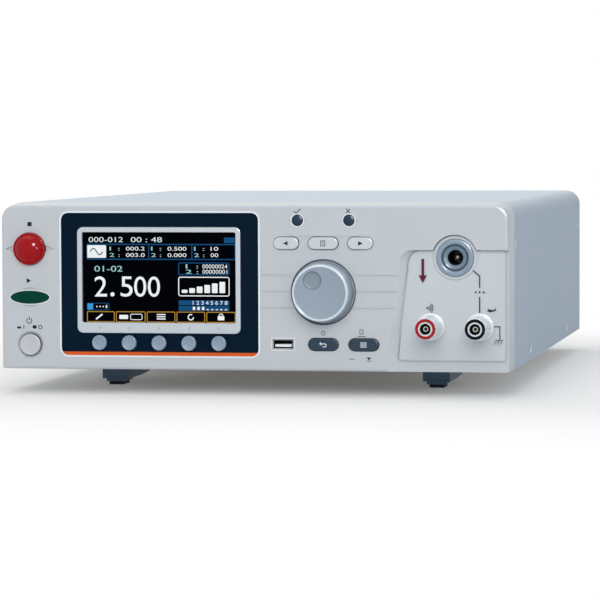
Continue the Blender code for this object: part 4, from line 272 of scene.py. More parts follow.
# Metals: plated fasteners and contacts, plated sheet, extruded aluminium
NICKEL = brushed("nickel_plate", "#C9C7C0", "#B8B6AF", 0.24, (1.0, 0.08, 1.0), 0.3)
BRIGHT_ZINC = brushed("bright_zinc_plate", "#F1F2F1", "#E4E7E8", 0.3, (1.0, 0.08, 1.0), 0.3)
GOLD_FLASH = brushed("gold_flashed_contact", "#D9B661", "#C9A654", 0.26, (1.0, 0.08, 1.0), 0.3)
TIN_PLATE = brushed("tin_plated_sheet", "#D4D6D8", "#C4C7CA", 0.3, (0.08, 1.0, 1.0), 0.4)
ZINC_PLATE = brushed("zinc_plated_sheet", "#C3C7CA", "#AEB3B8", 0.4, (0.06, 1.0, 1.0), 1.2)
ALUMINIUM = brushed("extruded_aluminium", "#C9CCCF", "#B9BDC1", 0.36, (1.0, 1.0, 0.05), 0.5)
# Printing inks on the mouldings
DARK_INK = grained("screen_ink_slate", "#16222D", "#131E28", 0.6, 0.5, 0.002, 5.0, specular=0.15)
PALE_INK = grained("screen_ink_white", "#DDE2E6", "#D6DBDF", 0.55, 0.5, 0.002, 5.0)
GREY_INK = grained("screen_ink_grey", "#8C959E", "#858E97", 0.55, 0.5, 0.002, 5.0)
MAROON_INK = grained("screen_ink_maroon", "#560A2A", "#4F0926", 0.55, 0.5, 0.002, 5.0, specular=0.15)
# Screen segments lit from behind
WHITE_PIXELS = lit("lit_pixels_white", "#F4F8FA", 1.0)
TEAL_PIXELS = lit("lit_pixels_teal", "#A9DDE0", 0.9)
PALE_PIXELS = lit("lit_pixels_pale", "#E4F0EE", 0.95)
BLUE_PIXELS = lit("lit_pixels_blue", "#1A5688", 0.85)
SKY_PIXELS = lit("lit_pixels_sky", "#3DA2E6", 0.9)
AMBER_PIXELS = lit("lit_pixels_amber", "#C79A3E", 0.85)

# The finish of each node of the part
FINISHES = (
    (FACE_ABS, "front_bezel"),
    (NAVY_FILM, "display_panel"),
    (ORANGE_FILM, "accent_strip"),
    (SILVER_LACQUER, "display_frame"),
    (WINDOW_ACRYLIC, "display_window"),
    (TIN_PLATE, "lcd_module encoder_body usb_socket serial_port signal_port usb_b_port"),
    (CAP_ABS, "page_left_key page_key page_right_key"),
    (SLATE_ABS, "escape_key utility_key"),
    (GREEN_ABS, "start_button"),
    (RED_ABS, "stop_button"),
    (BUTTON_ABS, "power_button"),
    (NYLON_BLACK_AND_SHADE, "power_switch return_ring fan_frame fan_rotor mains_inlet"),
    (KNOB_ABS, "jog_knob"),
    (NICKEL, "encoder_shaft hv_contact continuity_contact return_contact fan_guard"),
    (SMOKED_LENS, "pass_lens fail_lens"),
    (PLATE_ABS, "terminal_panel"),
    (HV_NYLON, "hv_socket"),
    (INSULATOR, "continuity_sleeve return_sleeve"),
    (RED_NYLON, "continuity_ring"),
    (BOARD_GREEN, "key_board main_board scanner_board"),
    (COVER_PAINT, "top_cover"),
    (ZINC_PLATE, "bottom_chassis"),
    (REAR_PAINT, "rear_panel"),
    (FOOT_ABS, "front_foot_left front_foot_right tilt_leg_left tilt_leg_right"),
    (RUBBER_BLACK_AND_GAP_SHADE, "foot_pad_left foot_pad_right rear_foot_left rear_foot_right"),
    (OUTPUT_NYLON, "output_block"),
    (ALUMINIUM, "heat_sink"),
    (TAPE_PAINTED_SHADE, "mains_transformer"),
    (CORE_IRON, "hv_transformer"),
    (SOFT_ABS, "soft_key_1 soft_key_2 soft_key_3 soft_key_4 soft_key_5"),
)
for material, nodes in FINISHES:
    for node in nodes.split():
        NODES[node].data.materials.clear()
        NODES[node].data.materials.append(material)


def begin(item=None):
    """Nothing selected but this piece, so the next operator acts on it, or on the new piece, alone."""
    bpy.ops.object.select_all(action="DESELECT")
    if item:
        item.select_set(True)
        bpy.context.view_layer.objects.active = item


def finish(item, name, material, body=HOUSING, replaced=()):
    """Puts the piece's place in its mesh, names it, paints it and makes it ride on its body."""
    begin(item)
    bpy.ops.object.transform_apply(location=True, rotation=True, scale=True)
    item.name = name
    item.data.name = name
    item.data.materials.clear()
    item.data.materials.append(material)
    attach(item, body)
    if replaced:
        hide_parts(*replaced)
    begin()
    return item


def linked(name, data):
    """A new object in the scene for this mesh, curve, text, lamp or camera."""
    item = bpy.data.objects.new(name, data)
    SCENE.collection.objects.link(item)
    return item


def meshed(name, shape):
    """A new object made of a curve or a text, as a mesh."""
    begin(linked(name, shape))
    bpy.ops.object.convert(target="MESH")
    return bpy.context.view_layer.objects.active


def ribbon(points, width):
    """A closed outline of even width along a path of points, with mitred corners."""
    left, right = [], []
    for i, point in enumerate(points):
        here = Vector(point)
        before = Vector(points[i - 1]) if i else None
        after = Vector(points[i + 1]) if i + 1 < len(points) else None
        into = (here - before).normalized() if before else (after - here).normalized()
        out = (after - here).normalized() if after else into
        side = Vector((-into.y - out.y, into.x + out.x)).normalized()
        reach = width / 2 / max(0.5, side.dot(Vector((-out.y, out.x))))
        left.append(here + side * reach)
        right.append(here - side * reach)
    return left + right[::-1]


def rectangle(across, rise, width, height):
    """A rectangle by its lower left corner."""
    return [(across, rise), (across + width, rise), (across + width, rise + height), (across, rise + height)]


def rounded(across, rise, width, height, radius, steps=4):
    """A rectangle with rounded corners, by its lower left corner."""
    outline = []
    for column, row, start in ((1, 0, -90), (1, 1, 0), (0, 1, 90), (0, 0, 180)):
        middle_x = across + radius + column * (width - 2 * radius)
        middle_z = rise + radius + row * (height - 2 * radius)
        for step in range(steps + 1):
            angle = radians(start + 90 * step / steps)
            outline.append((middle_x + radius * cos(angle), middle_z + radius * sin(angle)))
    return outline


def inset(box, by):
    """A box (left, foot, width, height) drawn in on every side."""
    left, foot, wide, tall = box
    return left + by, foot + by, wide - 2 * by, tall - 2 * by


def framed(across, rise, width, height, radius, line):
    """Two outlines that leave a line of even width between them."""
    box = (across, rise, width, height)
    return [rounded(*box, radius), rounded(*inset(box, line), max(radius - line, 0.05))]


def arc_points(across, rise, radius, start, end, steps=10):
    """Points along an arc, both ends included, in degrees."""
    angles = [radians(start + (end - start) * step / steps) for step in range(steps + 1)]
    return [(across + radius * cos(a), rise + radius * sin(a)) for a in angles]


def round_outline(across, rise, diameter, steps=24):
    """A circle as an outline."""
    return arc_points(across, rise, diameter / 2, 0, 360, steps)[:-1]


def flat_piece(name, outlines, front, thickness, material, body=HOUSING, replaced=()):
    """A flat piece cut to outlines in panel millimetres; an outline inside another is a hole."""
    shape = bpy.data.curves.new(name, "CURVE")
    shape.dimensions = "2D"
    shape.fill_mode = "BOTH"
    shape.extrude = thickness * MM / 2
    for outline in outlines:
        spline = shape.splines.new("POLY")
        spline.points.add(len(outline) - 1)
        for point, (across, rise) in zip(spline.points, outline):
            point.co = (across * MM, rise * MM, 0.0, 1.0)
        spline.use_cyclic_u = True
    item = meshed(name, shape)
    item.matrix_world = Matrix.Translation(place(0, front + thickness / 2, 0)) @ FACING_FRONT
    return finish(item, name, material, body, replaced)


def printed(name, outlines, front=0.0, ink=DARK_INK, body=HOUSING):
    """A mark printed on a surface at this depth behind the face."""
    return flat_piece(name, outlines, front - INK / 2, INK, ink, body)


def shown(name, outlines, pixels=WHITE_PIXELS, front=SCREEN_FRONT):
    """Segments of the screen."""
    return flat_piece(name, outlines, front, LIT, pixels)


def figures(name, words, across, rise, height, spread, front, thickness, material, behind=False):
    """Plain figures, set to a height and width in panel millimetres from their lower left corner.

    Figures behind the part are read from the back, so they run the other way.
    """
    shape = bpy.data.curves.new(name, "FONT")
    shape.body = words
    shape.extrude = thickness * MM / 2
    item = meshed(name, shape)
    points = [v.co.copy() for v in item.data.vertices]
    low = Vector((min(p.x for p in points), min(p.y for p in points)))
    high = Vector((max(p.x for p in points), max(p.y for p in points)))
    for vertex in item.data.vertices:
        vertex.co.x = (vertex.co.x - low.x) / (high.x - low.x) * spread * MM
        vertex.co.y = (vertex.co.y - low.y) / (high.y - low.y) * height * MM
    turned = HALF_TURN @ FACING_FRONT if behind else FACING_FRONT
    item.matrix_world = Matrix.Translation(place(across, front + thickness / 2, rise)) @ turned
    return finish(item, name, material)


def oval_outline(across, rise, width, height, steps=40):
    """An ellipse as an outline."""
    return [
        (across + (x - across) * width, rise + (z - rise) * height)
        for x, z in round_outline(across, rise, 1.0, steps)
    ]


def moved(points, across, rise):
    """The same outline, carried to its place."""
    return [(x + across, z + rise) for x, z in points]


def spun(name, profile, across, rise, front, material, body=HOUSING, replaced=(), steps=48):
    """A turned piece: (radius, depth) points in mm, spun about its own axis through the panel."""
    shape = bpy.data.curves.new(name, "CURVE")
    shape.dimensions = "3D"
    line = shape.splines.new("POLY")
    line.points.add(len(profile) - 1)
    for point, (radius, depth) in zip(line.points, profile):
        point.co = (radius * MM, 0.0, depth * MM, 1.0)
    item = meshed(name, shape)
    bpy.ops.object.mode_set(mode="EDIT")
    bpy.ops.mesh.select_all(action="SELECT")
    bpy.ops.mesh.spin(steps=steps, angle=2 * pi, center=(0, 0, 0), axis=(0, 0, 1), use_auto_merge=True)
    bpy.ops.mesh.select_all(action="SELECT")
    bpy.ops.mesh.remove_doubles(threshold=WELD)
    bpy.ops.mesh.normals_make_consistent(inside=False)
    bpy.ops.object.mode_set(mode="OBJECT")
    bpy.ops.object.shade_smooth_by_angle(angle=radians(35))
    item.matrix_world = Matrix.Translation(place(across, front, rise)) @ FACING_BACK
    return finish(item, name, material, body, replaced)


def to_panel(point):
    """A world point as (across, rise) in panel millimetres."""
    return (point.x / MM, (point.z - GROUND_Z) / MM)


def node_face(node):
    """The middle of a node's front in panel millimetres: across, rise and depth."""
    low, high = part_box(node)
    across, rise = to_panel((low + high) / 2)
    return across, rise, (low.y - FACE_Y) / MM


def node_box(node):
    """A node's outline in panel millimetres: left, foot, width and height."""
    left, foot = to_panel(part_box(node)[0])
    right, head = to_panel(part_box(node)[1])
    return left, foot, right - left, head - foot


def node_depth(node):
    """How deep a node is from its front to its back, in millimetres."""
    return (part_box(node)[1].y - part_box(node)[0].y) / MM


def cylinder(sides, radius, length, middle=(0.0, 0.0, 0.0), turn=(0.0, 0.0, 0.0)):
    """A plain cylinder, sized in mm, to work on."""
    begin()
    bpy.ops.mesh.primitive_cylinder_add(
        vertices=sides, radius=radius * MM, depth=length * MM, location=middle, rotation=turn
    )
    return bpy.context.object


def bar_cutter(wide, deep, tall, middle, turn=0.0):
    """A bar, sized in mm, that cuts a slot."""
    begin()
    bpy.ops.mesh.primitive_cube_add(size=1.0, location=middle)
    bar = bpy.context.object
    bar.scale = (wide * MM, deep * MM, tall * MM)
    bar.rotation_euler.z = turn
    bpy.ops.object.transform_apply(location=False)
    return bar


def round_cutter(across, rise, radius, front, length, rounding):
    """A cylinder along the panel's depth, with rounded ends, that cuts a hollow in a moulding."""
    cutter = cylinder(48, radius, length, place(across, front + length / 2, rise), (radians(90), 0, 0))
    soften = cutter.modifiers.new("soften", "BEVEL")
    soften.width = rounding * MM
    soften.segments = 4
    bpy.ops.object.modifier_apply(modifier=soften.name)
    begin()
    return cutter


def copied(blank, name, spot, turn, material, body=HOUSING):
    """A copy of a modelled piece with its own mesh, carried to its place."""
    item = linked(name, blank.data.copy())
    item.matrix_world = Matrix.Translation(spot) @ turn
    return finish(item, name, material, body)


def carve(item, cutters):
    """Cuts the cutters out of a piece and removes them."""
    for cutter in cutters:
        begin(item)
        carving = item.modifiers.new("carve", "BOOLEAN")
        carving.operation = "DIFFERENCE"
        carving.object = cutter
        bpy.ops.object.modifier_apply(modifier=carving.name)
        bpy.data.objects.remove(cutter)
    begin()


def screw_blank(diameter, height):
    """A pan-head screw's head with a cross recess, its seat at the origin and its top towards +Z."""
    head = cylinder(28, diameter / 2, height, (0, 0, height / 2 * MM))
    bpy.ops.object.mode_set(mode="EDIT")
    bpy.ops.mesh.select_all(action="DESELECT")
    shape = bmesh.from_edit_mesh(head.data)
    for edge in shape.edges:
        edge.select = all(v.co.z > height / 2 * MM for v in edge.verts) and len(edge.link_faces) == 2
    bmesh.update_edit_mesh(head.data)
    bpy.ops.mesh.bevel(offset=height * 0.45 * MM, segments=3, profile=0.6)
    bpy.ops.object.mode_set(mode="OBJECT")
    bar = (diameter * 0.56, diameter * 0.13, height * 1.1, (0, 0, height * MM))
    carve(head, [bar_cutter(*bar, turn) for turn in (0.0, pi / 2)])
    begin(head)
    bpy.ops.object.shade_smooth_by_angle(angle=radians(30))
    begin()
    head.hide_render = True
    return head


def nut_blank(across_flats, height, bore):
    """A hexagon nut with chamfered corners and a hole through it, its seat at the origin."""
    nut = cylinder(6, across_flats / sqrt(3), height, (0, 0, height / 2 * MM))
    rounding = nut.modifiers.new("rounding", "BEVEL")
    rounding.width = 0.25 * MM
    rounding.segments = 2
    bpy.ops.object.modifier_apply(modifier=rounding.name)
    carve(nut, [cylinder(20, bore / 2, height * 4)])
    nut.hide_render = True
    return nut


# The moulded bead round the display panel, lighter than the face as a painted highlight on its edge
bead_left, bead_foot = to_panel(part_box("accent_strip")[0])
bead_right, bead_head = to_panel(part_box("display_panel")[1])
bead_wide, bead_tall = bead_right - bead_left + 3.2, bead_head - bead_foot + 2.2
bead = framed(bead_left - 2.0, bead_foot - 1.1, bead_wide, bead_tall, 5.4, 1.05)
flat_piece("panel_bead", bead, -0.35, 0.5, PALE_HIGHLIGHT_ABS)

# Soft keys: a dished face inside a narrow rolled rim, with the flange and post behind the wall
for number in range(1, 6):
    node = f"soft_key_{number}"
    deep = node_depth(node)
    spun(
        f"{node}_cap",
        [
            (0.0, 0.62), (1.6, 0.58), (2.8, 0.44), (3.6, 0.2), (3.95, 0.04), (4.15, 0.0), (4.4, 0.08),
            (4.58, 0.28), (4.65, 0.6), (4.65, 4.4), (5.5, 4.4), (5.5, 5.3), (1.6, 5.3), (1.6, deep),
            (0.0, deep),
        ],
        *node_face(node), SOFT_ABS, node, (node,), 44,
    )

# Ticks on the frame, over the soft keys
ticks = [rectangle(x - 0.3, 25.0, 0.6, 1.7) for x in (-96.6, -77.5, -58.7, -39.4, -20.5)]
printed("frame_ticks", ticks, FRAME_FRONT, GREY_INK)

# Jog knob: a flat face in a raised rim, a flat-bottomed finger dimple and shallow flutes round the skirt
across, rise, front = node_face("jog_knob")
knob = spun(
    "jog_knob_moulding",
    [
        (0.0, 0.4), (15.4, 0.4), (15.75, 0.3), (16.0, 0.06), (16.3, 0.0), (16.75, 0.0), (17.05, 0.16),
        (17.25, 0.5), (18.45, 11.4), (18.75, 12.4), (18.8, 13.0), (18.8, 14.5), (3.3, 14.5), (3.3, 7.5),
        (0.0, 7.5),
    ],
    across, rise, front, KNOB_ABS, "jog", ("jog_knob",), 96,
)
cutters = []
for flute in range(KNOB_FLUTES):
    angle = 2 * pi * (flute + 0.5) / KNOB_FLUTES
    flute_across = across + KNOB_FLUTE_ORBIT * cos(angle)
    flute_rise = rise + KNOB_FLUTE_ORBIT * sin(angle)
    cutters.append(round_cutter(flute_across, flute_rise, 7.0, front + 1.6, 11.6, 0.8))
dimple_across = across + DIMPLE_ORBIT * cos(DIMPLE_ANGLE)
dimple_rise = rise + DIMPLE_ORBIT * sin(DIMPLE_ANGLE)
cutters.append(round_cutter(dimple_across, dimple_rise, 5.75, front - 2.0, 3.75, 0.9))
carve(knob, cutters)
begin(knob)
bpy.ops.object.shade_smooth_by_angle(angle=radians(32))
begin()
# A darker floor in the finger dimple: painted shade in the hollow
spun(
    "jog_knob_dimple_floor",
    [(0.0, 1.72), (3.5, 1.66), (4.7, 1.5), (5.2, 1.3), (5.25, 1.9), (0.0, 1.9)],
    dimple_across, dimple_rise, front, DIMPLE_SHADE_ABS, "jog", (), 56,
)
# A lighter ring over the rim of the knob's face and down its wall: painted highlight
spun(
    "jog_knob_face_edge",
    [
        (15.7, 0.42), (15.85, 0.22), (16.1, 0.0), (16.4, -0.06), (16.85, -0.06), (17.15, 0.12), (17.38, 0.55),
        (17.5, 1.3), (17.62, 2.4), (17.4, 2.7), (16.6, 0.6),
    ],
    across, rise, front, KNOB_RIM_HIGHLIGHT, "jog", (), 96,
)
# A dark ring in the knob's recess: painted shade in the gap round the knob
spun(
    "jog_knob_shade_ring",
    [(19.5, 1.6), (19.5, 0.95), (19.9, 0.7), (20.42, 0.3), (20.42, 1.6)],
    across, rise, 0.0, KNOB_GAP_SHADE, steps=96,
)

# Stop button: a polished dome, a fine groove and a narrow shoulder round it
deep = node_depth("stop_button")
dome = [(0.0, 0.0)]
for step in range(1, DOME_STEPS + 1):
    angle = DOME_SPREAD * step / DOME_STEPS
    fall = (1 - cos(angle)) / (1 - cos(DOME_SPREAD))
    dome.append((DOME_RADIUS * sin(angle) / sin(DOME_SPREAD), DOME_HEIGHT * fall))
dome += [
    (8.78, 4.85), (8.95, 4.9), (9.15, 4.72), (9.5, 4.8), (9.85, 5.1), (10.0, 5.6), (10.0, 11.2),
    (10.9, 11.2), (10.9, 12.1), (2.5, 12.1), (2.5, deep), (0.0, deep),
]
spun("stop_dome", dome, *node_face("stop_button"), RED_ABS, "stop_button", ("stop_button",), 72)

# Start button: a pale raised rim round the oval cap, lighter than the face as a painted highlight
across, rise = node_face("start_button")[:2]
rim = [oval_outline(across, rise, 26.6, 9.5), oval_outline(across, rise, 25.3, 8.3)]
flat_piece("start_rim", rim, -0.25, 0.4, PALE_HIGHLIGHT_ABS)

# Power button: a dished round cap with its flange and rod
deep = node_depth("power_button")
spun(
    "power_cap",
    [
        (0.0, 0.42), (3.4, 0.4), (5.0, 0.3), (5.7, 0.06), (6.0, 0.0), (6.35, 0.1), (6.62, 0.4), (6.7, 0.8),
        (6.7, 4.2), (7.6, 4.2), (7.6, 5.1), (3.4, 5.1), (3.4, deep), (0.0, deep),
    ],
    *node_face("power_button"), BUTTON_ABS, "power_button", ("power_button",), 64,
)

# Black rings seen in the gaps round the keys and buttons: painted shade in the gaps
for node in ("page_left_key", "page_key", "page_right_key", "escape_key", "utility_key"):
    cap = inset(node_box(node), KEY_FLANGE)
    gap = rounded(*inset(cap, -KEY_GAP), cap[3] / 2 + KEY_GAP, 10)
    hole = rounded(*inset(cap, -0.02), cap[3] / 2, 10)
    flat_piece(f"{node}_gap_shade_ring", [gap, hole], 0.25, 0.3, RUBBER_BLACK_AND_GAP_SHADE)
for node in ("stop_button", "power_button") + tuple(f"soft_key_{number}" for number in range(1, 6)):
    across, rise = node_face(node)[:2]
    radius = node_box(node)[2] / 2 - KEY_FLANGE
    spun(
        f"{node}_gap_shade_ring",
        [(radius + 0.03, 0.9), (radius + 0.03, 0.5), (radius + KEY_GAP, 0.5), (radius + KEY_GAP, 0.9)],
        across, rise, 0.0, RUBBER_BLACK_AND_GAP_SHADE, steps=48,
    )
across, rise = node_face("start_button")[:2]
wide, tall = inset(node_box("start_button"), KEY_FLANGE)[2:]
gap = oval_outline(across, rise, wide + 2 * KEY_GAP, tall + 2 * KEY_GAP)
hole = oval_outline(across, rise, wide + 0.04, tall + 0.04)
flat_piece("start_gap_shade_ring", [gap, hole], 0.25, 0.3, RUBBER_BLACK_AND_GAP_SHADE)

# Indicator lenses: smoked domes, a pale ring round each as a painted highlight on the edge of its hole, and
# short marks on its sides
for node in ("pass_lens", "fail_lens"):
    across, rise, front = node_face(node)
    deep = node_depth(node)
    spun(
        f"{node}_dome",
        [
            (0.0, 0.0), (0.8, 0.02), (1.6, 0.1), (2.3, 0.25), (2.9, 0.48), (3.3, 0.72), (3.46, 0.9),
            (3.5, 1.1), (3.5, deep - 0.9), (4.4, deep - 0.9), (4.4, deep), (0.0, deep),
        ],
        across, rise, front, SMOKED_LENS, HOUSING, (node,), 48,
    )
    ring = [round_outline(across, rise, 8.5, 40), round_outline(across, rise, 7.3, 40)]
    flat_piece(f"{node}_ring", ring, -0.1, 0.16, PALE_HIGHLIGHT_ABS)
    marks = [rectangle(across + side * 4.9 - 0.6, rise - 0.2, 1.2, 0.4) for side in (-1, 1)]
    printed(f"{node}_marks", marks, ink=GREY_INK)

# USB socket: pale surround, lighter than the face as a painted highlight; shell; a dark lining and back that
# are painted shade inside; and the white tongue with its contacts
usb = node_box("usb_socket")
usb_left, usb_foot, usb_wide = usb[:3]
flat_piece("usb_surround", framed(*inset(usb, -1.0), 0.5, 0.6), -0.2, 0.3, PALE_HIGHLIGHT_ABS)
shell = framed(*inset(usb, 0.03), 0.6, 0.32)
flat_piece("usb_shell", shell, 0.3, 14.6, TIN_PLATE, HOUSING, ("usb_socket",))
flat_piece("usb_shade_lining", framed(*inset(usb, 0.37), 0.4, 0.16), 0.55, 9.0, NYLON_BLACK_AND_SHADE)
flat_piece("usb_shade_back", [rounded(*inset(usb, 0.4), 0.3)], 9.6, 4.0, NYLON_BLACK_AND_SHADE)
tongue = rounded(usb_left + 1.3, usb_foot + 1.3, usb_wide - 2.6, 1.5, 0.2)
flat_piece("usb_tongue", [tongue], 0.9, 9.0, TONGUE_NYLON)
contacts = [rectangle(usb_left + 2.2 + 2.2 * i, usb_foot + 2.8, 1.1, 0.12) for i in range(4)]
flat_piece("usb_contacts", contacts, 1.8, 7.0, NICKEL)

# Terminals: a black lining inside each bore, painted shade in the deep bore, and a spring socket
for side in ("continuity", "return"):
    face = node_face(f"{side}_sleeve")
    spun(
        f"{side}_bore_shade_lining",
        [(3.46, 0.3), (3.46, 6.8), (2.6, 6.8), (2.6, 0.9), (2.9, 0.5), (3.2, 0.3)],
        *face, NYLON_BLACK_AND_SHADE, steps=40,
    )
    spun(
        f"{side}_spring_socket",
        [(0.8, 8.5), (0.8, 2.9), (1.1, 2.5), (1.6, 2.5), (1.8, 2.8), (1.8, 6.9), (1.0, 6.95)],
        *face, NICKEL, steps=32,
    )

# High-voltage socket: outer shell; an inner collar darker than the shell, painted shade; a dark ring in the
# gap between them and a black lining in the bore, both painted shade
face = node_face("hv_socket")
spun(
    "high_voltage_shell",
    [
        (0.0, 26.0), (4.7, 26.0), (4.7, 5.0), (7.0, 4.6), (7.15, 6.0), (8.15, 6.0), (8.3, 0.9), (8.6, 0.3),
        (9.1, 0.05), (10.0, 0.0), (10.8, 0.1), (11.3, 0.35), (11.5, 0.9), (11.5, 31.4), (0.0, 31.4),
    ],
    *face, HV_NYLON, replaced=("hv_socket",), steps=72,
)
spun(
    "high_voltage_collar",
    [
        (4.72, 6.0), (4.72, 3.5), (4.9, 3.2), (5.2, 3.0), (6.6, 1.9), (7.0, 1.7), (7.2, 1.9), (7.25, 2.4),
        (7.25, 5.8), (6.0, 6.2),
    ],
    *face, COLLAR_SHADE_NYLON, steps=72,
)
gap = [(7.3, 4.6), (7.3, 2.7), (8.1, 2.7), (8.1, 4.6)]
spun("high_voltage_gap_ring", gap, *face, GROOVE_SHADE_NYLON, steps=72)
spun(
    "high_voltage_bore_shade_lining",
    [(4.66, 3.9), (4.66, 25.4), (4.0, 25.4), (4.0, 4.6), (4.3, 4.1)],
    *face, NYLON_BLACK_AND_SHADE, steps=56,
)

# Marks printed on the face
printed("stop_mark", [rounded(-142.8, 89.3, 2.7, 2.7, 0.3)])
printed("start_mark", [[(-143.6, 53.6), (-140.7, 55.2), (-143.6, 56.8)]])
printed(
    "power_mark",
    [ribbon(arc_points(-142.1, 30.1, 1.7, 125, 415, 20), 0.5), rectangle(-142.35, 30.4, 0.5, 2.2)],
)
printed(
    "position_marks",
    [
        rounded(-150.0, 25.1, 2.6, 1.3, 0.4),
        rectangle(-145.9, 25.0, 0.55, 2.3),
        rounded(-140.0, 25.1, 2.6, 2.2, 0.8),
        round_outline(-135.0, 26.2, 2.7),
        round_outline(-135.0, 26.2, 1.7),
    ],
)
printed("pass_mark", [ribbon([(27.0, 98.8), (28.5, 97.7), (31.0, 100.2)], 0.55)])
printed(
    "fail_mark",
    [
        ribbon([(59.6, 97.7), (62.0, 100.2)], 0.55),
        ribbon([(59.6, 100.2), (60.55, 99.22)], 0.55),
        ribbon([(61.05, 98.7), (62.0, 97.7)], 0.55),
    ],
)
printed(
    "key_row_marks",
    [
        ribbon(arc_points(45.1, 23.6, 1.2, 0, 360, 16)[:-1] + [(46.3, 23.5)], 0.4),
        rectangle(66.4, 21.5, 5.2, 0.4),
        rectangle(61.5, 7.5, 3.0, 0.4),
        [(72.0, 8.8), (75.2, 8.8), (73.6, 7.2)],
        rectangle(72.0, 6.4, 3.2, 0.4),
    ]
    + framed(67.8, 23.0, 2.4, 3.0, 0.2, 0.4),
)

# Marks on the keys ride with them
for node, side in (("page_left_key", -1), ("page_right_key", 1)):
    across, rise, front = node_face(node)
    mark = [(side * 1.7, 0.0), (side * -1.2, 1.35), (side * -1.2, -1.35)]
    printed(f"{node}_mark", [moved(mark, across, rise)], front, body=node)
across, rise, front = node_face("page_key")
printed(
    "page_key_mark",
    framed(across - 1.5, rise - 1.8, 3.0, 3.6, 0.3, 0.4)
    + [rectangle(across - 0.7, rise + 0.5, 1.4, 0.35), rectangle(across - 0.7, rise - 0.7, 1.4, 0.35)],
    front, body="page_key",
)
across, rise, front = node_face("escape_key")
hook = moved([(-1.4, 0.5), (1.3, 0.5), (1.9, -0.1), (1.9, -0.9), (1.3, -1.4), (-0.4, -1.4)], across, rise)
tip = moved([(-2.5, 0.5), (-1.3, 1.6), (-1.3, -0.6)], across, rise)
printed("escape_key_mark", [ribbon(hook, 0.5), tip], front, PALE_INK, "escape_key")
across, rise, front = node_face("utility_key")
printed(
    "utility_key_mark",
    [rectangle(across - 2.0, rise + shift, 4.0, 0.5) for shift in (-1.5, -0.25, 1.0)],
    front, PALE_INK, "utility_key",
)

# Screen: figures and plain marks only
shown("screen_white_block", [rounded(-105.0, 69.6, 12.2, 7.9, 0.6)])
wave = [(-103.0 + 0.5 * i, 73.5 + 2.0 * sin(2 * pi * i / 16)) for i in range(17)]
shown("screen_block_wave", [ribbon(wave, 0.6)], WINDOW_ACRYLIC, SCREEN_FRONT - LIT)
shown(
    "screen_blue_frames",
    framed(-105.4, 68.4, 95.2, 10.0, 0.4, 0.7)
    + framed(-46.8, 59.0, 32.6, 7.9, 1.2, 0.6)
    + framed(-105.4, 36.8, 14.4, 4.6, 0.8, 0.4),
    BLUE_PIXELS,
)
shown(
    "screen_blue_fills",
    [
        rectangle(-65.9, 69.2, 0.7, 8.4),
        rectangle(-38.4, 69.2, 0.7, 8.4),
        rounded(-17.6, 79.0, 6.9, 3.4, 0.4),
        rounded(-46.6, 36.8, 32.2, 3.0, 0.3),
        rounded(-46.6, 40.3, 32.2, 3.0, 0.3),
    ],
    BLUE_PIXELS,
)
shown("screen_position", [rectangle(-105.0, 37.2, 3.6, 3.8)], SKY_PIXELS)
shown(
    "screen_dots",
    [round_outline(x, 39.1, 0.9, 10) for x in (-99.0, -96.9, -94.8)] + [rectangle(-93.2, 38.2, 0.8, 1.9)],
)
shown("screen_state_frame", framed(-46.8, 45.8, 32.6, 12.2, 1.4, 0.6))
shown("screen_state_bars", [rounded(-44.6 + 4.8 * i, 47.9, 3.6, 2.0 + 1.0 * i, 0.4) for i in range(6)])
tabs = []
for start, end in ((-105.4, -87.6), (-86.8, -67.8), (-67.0, -48.8), (-48.0, -29.8), (-29.0, -10.4)):
    tabs += framed(start, 29.4, end - start, 6.8, 0.8, 0.5)
shown("screen_tab_frames", tabs, AMBER_PIXELS)
shown(
    "screen_tab_marks",
    [
        ribbon([(-99.6, 31.2), (-95.4, 34.4)], 1.0),
        rounded(-84.6, 31.4, 5.6, 2.6, 0.4),
        *[rectangle(-60.6, foot, 5.6, 0.7) for foot in (31.2, 32.6, 34.0)],
        rounded(-21.8, 31.0, 4.2, 2.6, 0.3),
    ]
    + framed(-77.6, 30.8, 7.8, 3.9, 1.1, 0.45)
    + [
        ribbon(arc_points(-19.7, 33.7, 1.2, 0, 180, 8), 0.6),
        ribbon(arc_points(-38.9, 32.8, 1.7, 60, 360, 14), 0.7),
    ],
)
shown("screen_reading_point", [round_outline(-88.9, 46.8, 2.7, 16)])
shown(
    "screen_channel_states",
    [rectangle(-37.6 + 2.9 * i, 37.3, 1.5, 2.0 if i < 3 else 0.6) for i in range(8)],
    front=SCREEN_FRONT - LIT,
)
figures("screen_channels", "1 2 3 4 5 6 7 8", -37.6, 40.6, 2.4, 22.0, SCREEN_FRONT - LIT, LIT, WHITE_PIXELS)
screen_lines = [
    ("reading_whole", "2", -100.4, 45.4, 12.6, 8.0, WHITE_PIXELS),
    ("reading_0", "5", -83.7, 45.4, 12.6, 7.7, WHITE_PIXELS),
    ("reading_1", "0", -83.7 + 8.75, 45.4, 12.6, 7.7, WHITE_PIXELS),
    ("reading_2", "0", -83.7 + 8.75 * 2, 45.4, 12.6, 7.7, WHITE_PIXELS),
    ("counts", "00000024", -31.4, 63.2, 2.5, 15.8, WHITE_PIXELS),
    ("counts_low", "00000001", -31.4, 59.9, 2.5, 15.8, WHITE_PIXELS),
    ("count_marks", "1 :", -42.0, 63.2, 2.5, 8.0, TEAL_PIXELS),
    ("count_marks_low", "2 :", -42.0, 59.9, 2.5, 8.0, TEAL_PIXELS),
    ("top_line", "000-012", -104.0, 79.4, 3.2, 22.0, PALE_PIXELS),
    ("top_line_right", "00 : 48", -77.0, 79.4, 3.2, 20.0, PALE_PIXELS),
    ("heading", "01-02", -100.4, 61.0, 3.6, 18.0, TEAL_PIXELS),
]
columns = ((-90.6, 12.0, "000.2", "003.0"), (-64.0, 12.0, "0.500", "0.000"), (-36.6, 4.8, "10", "00"))
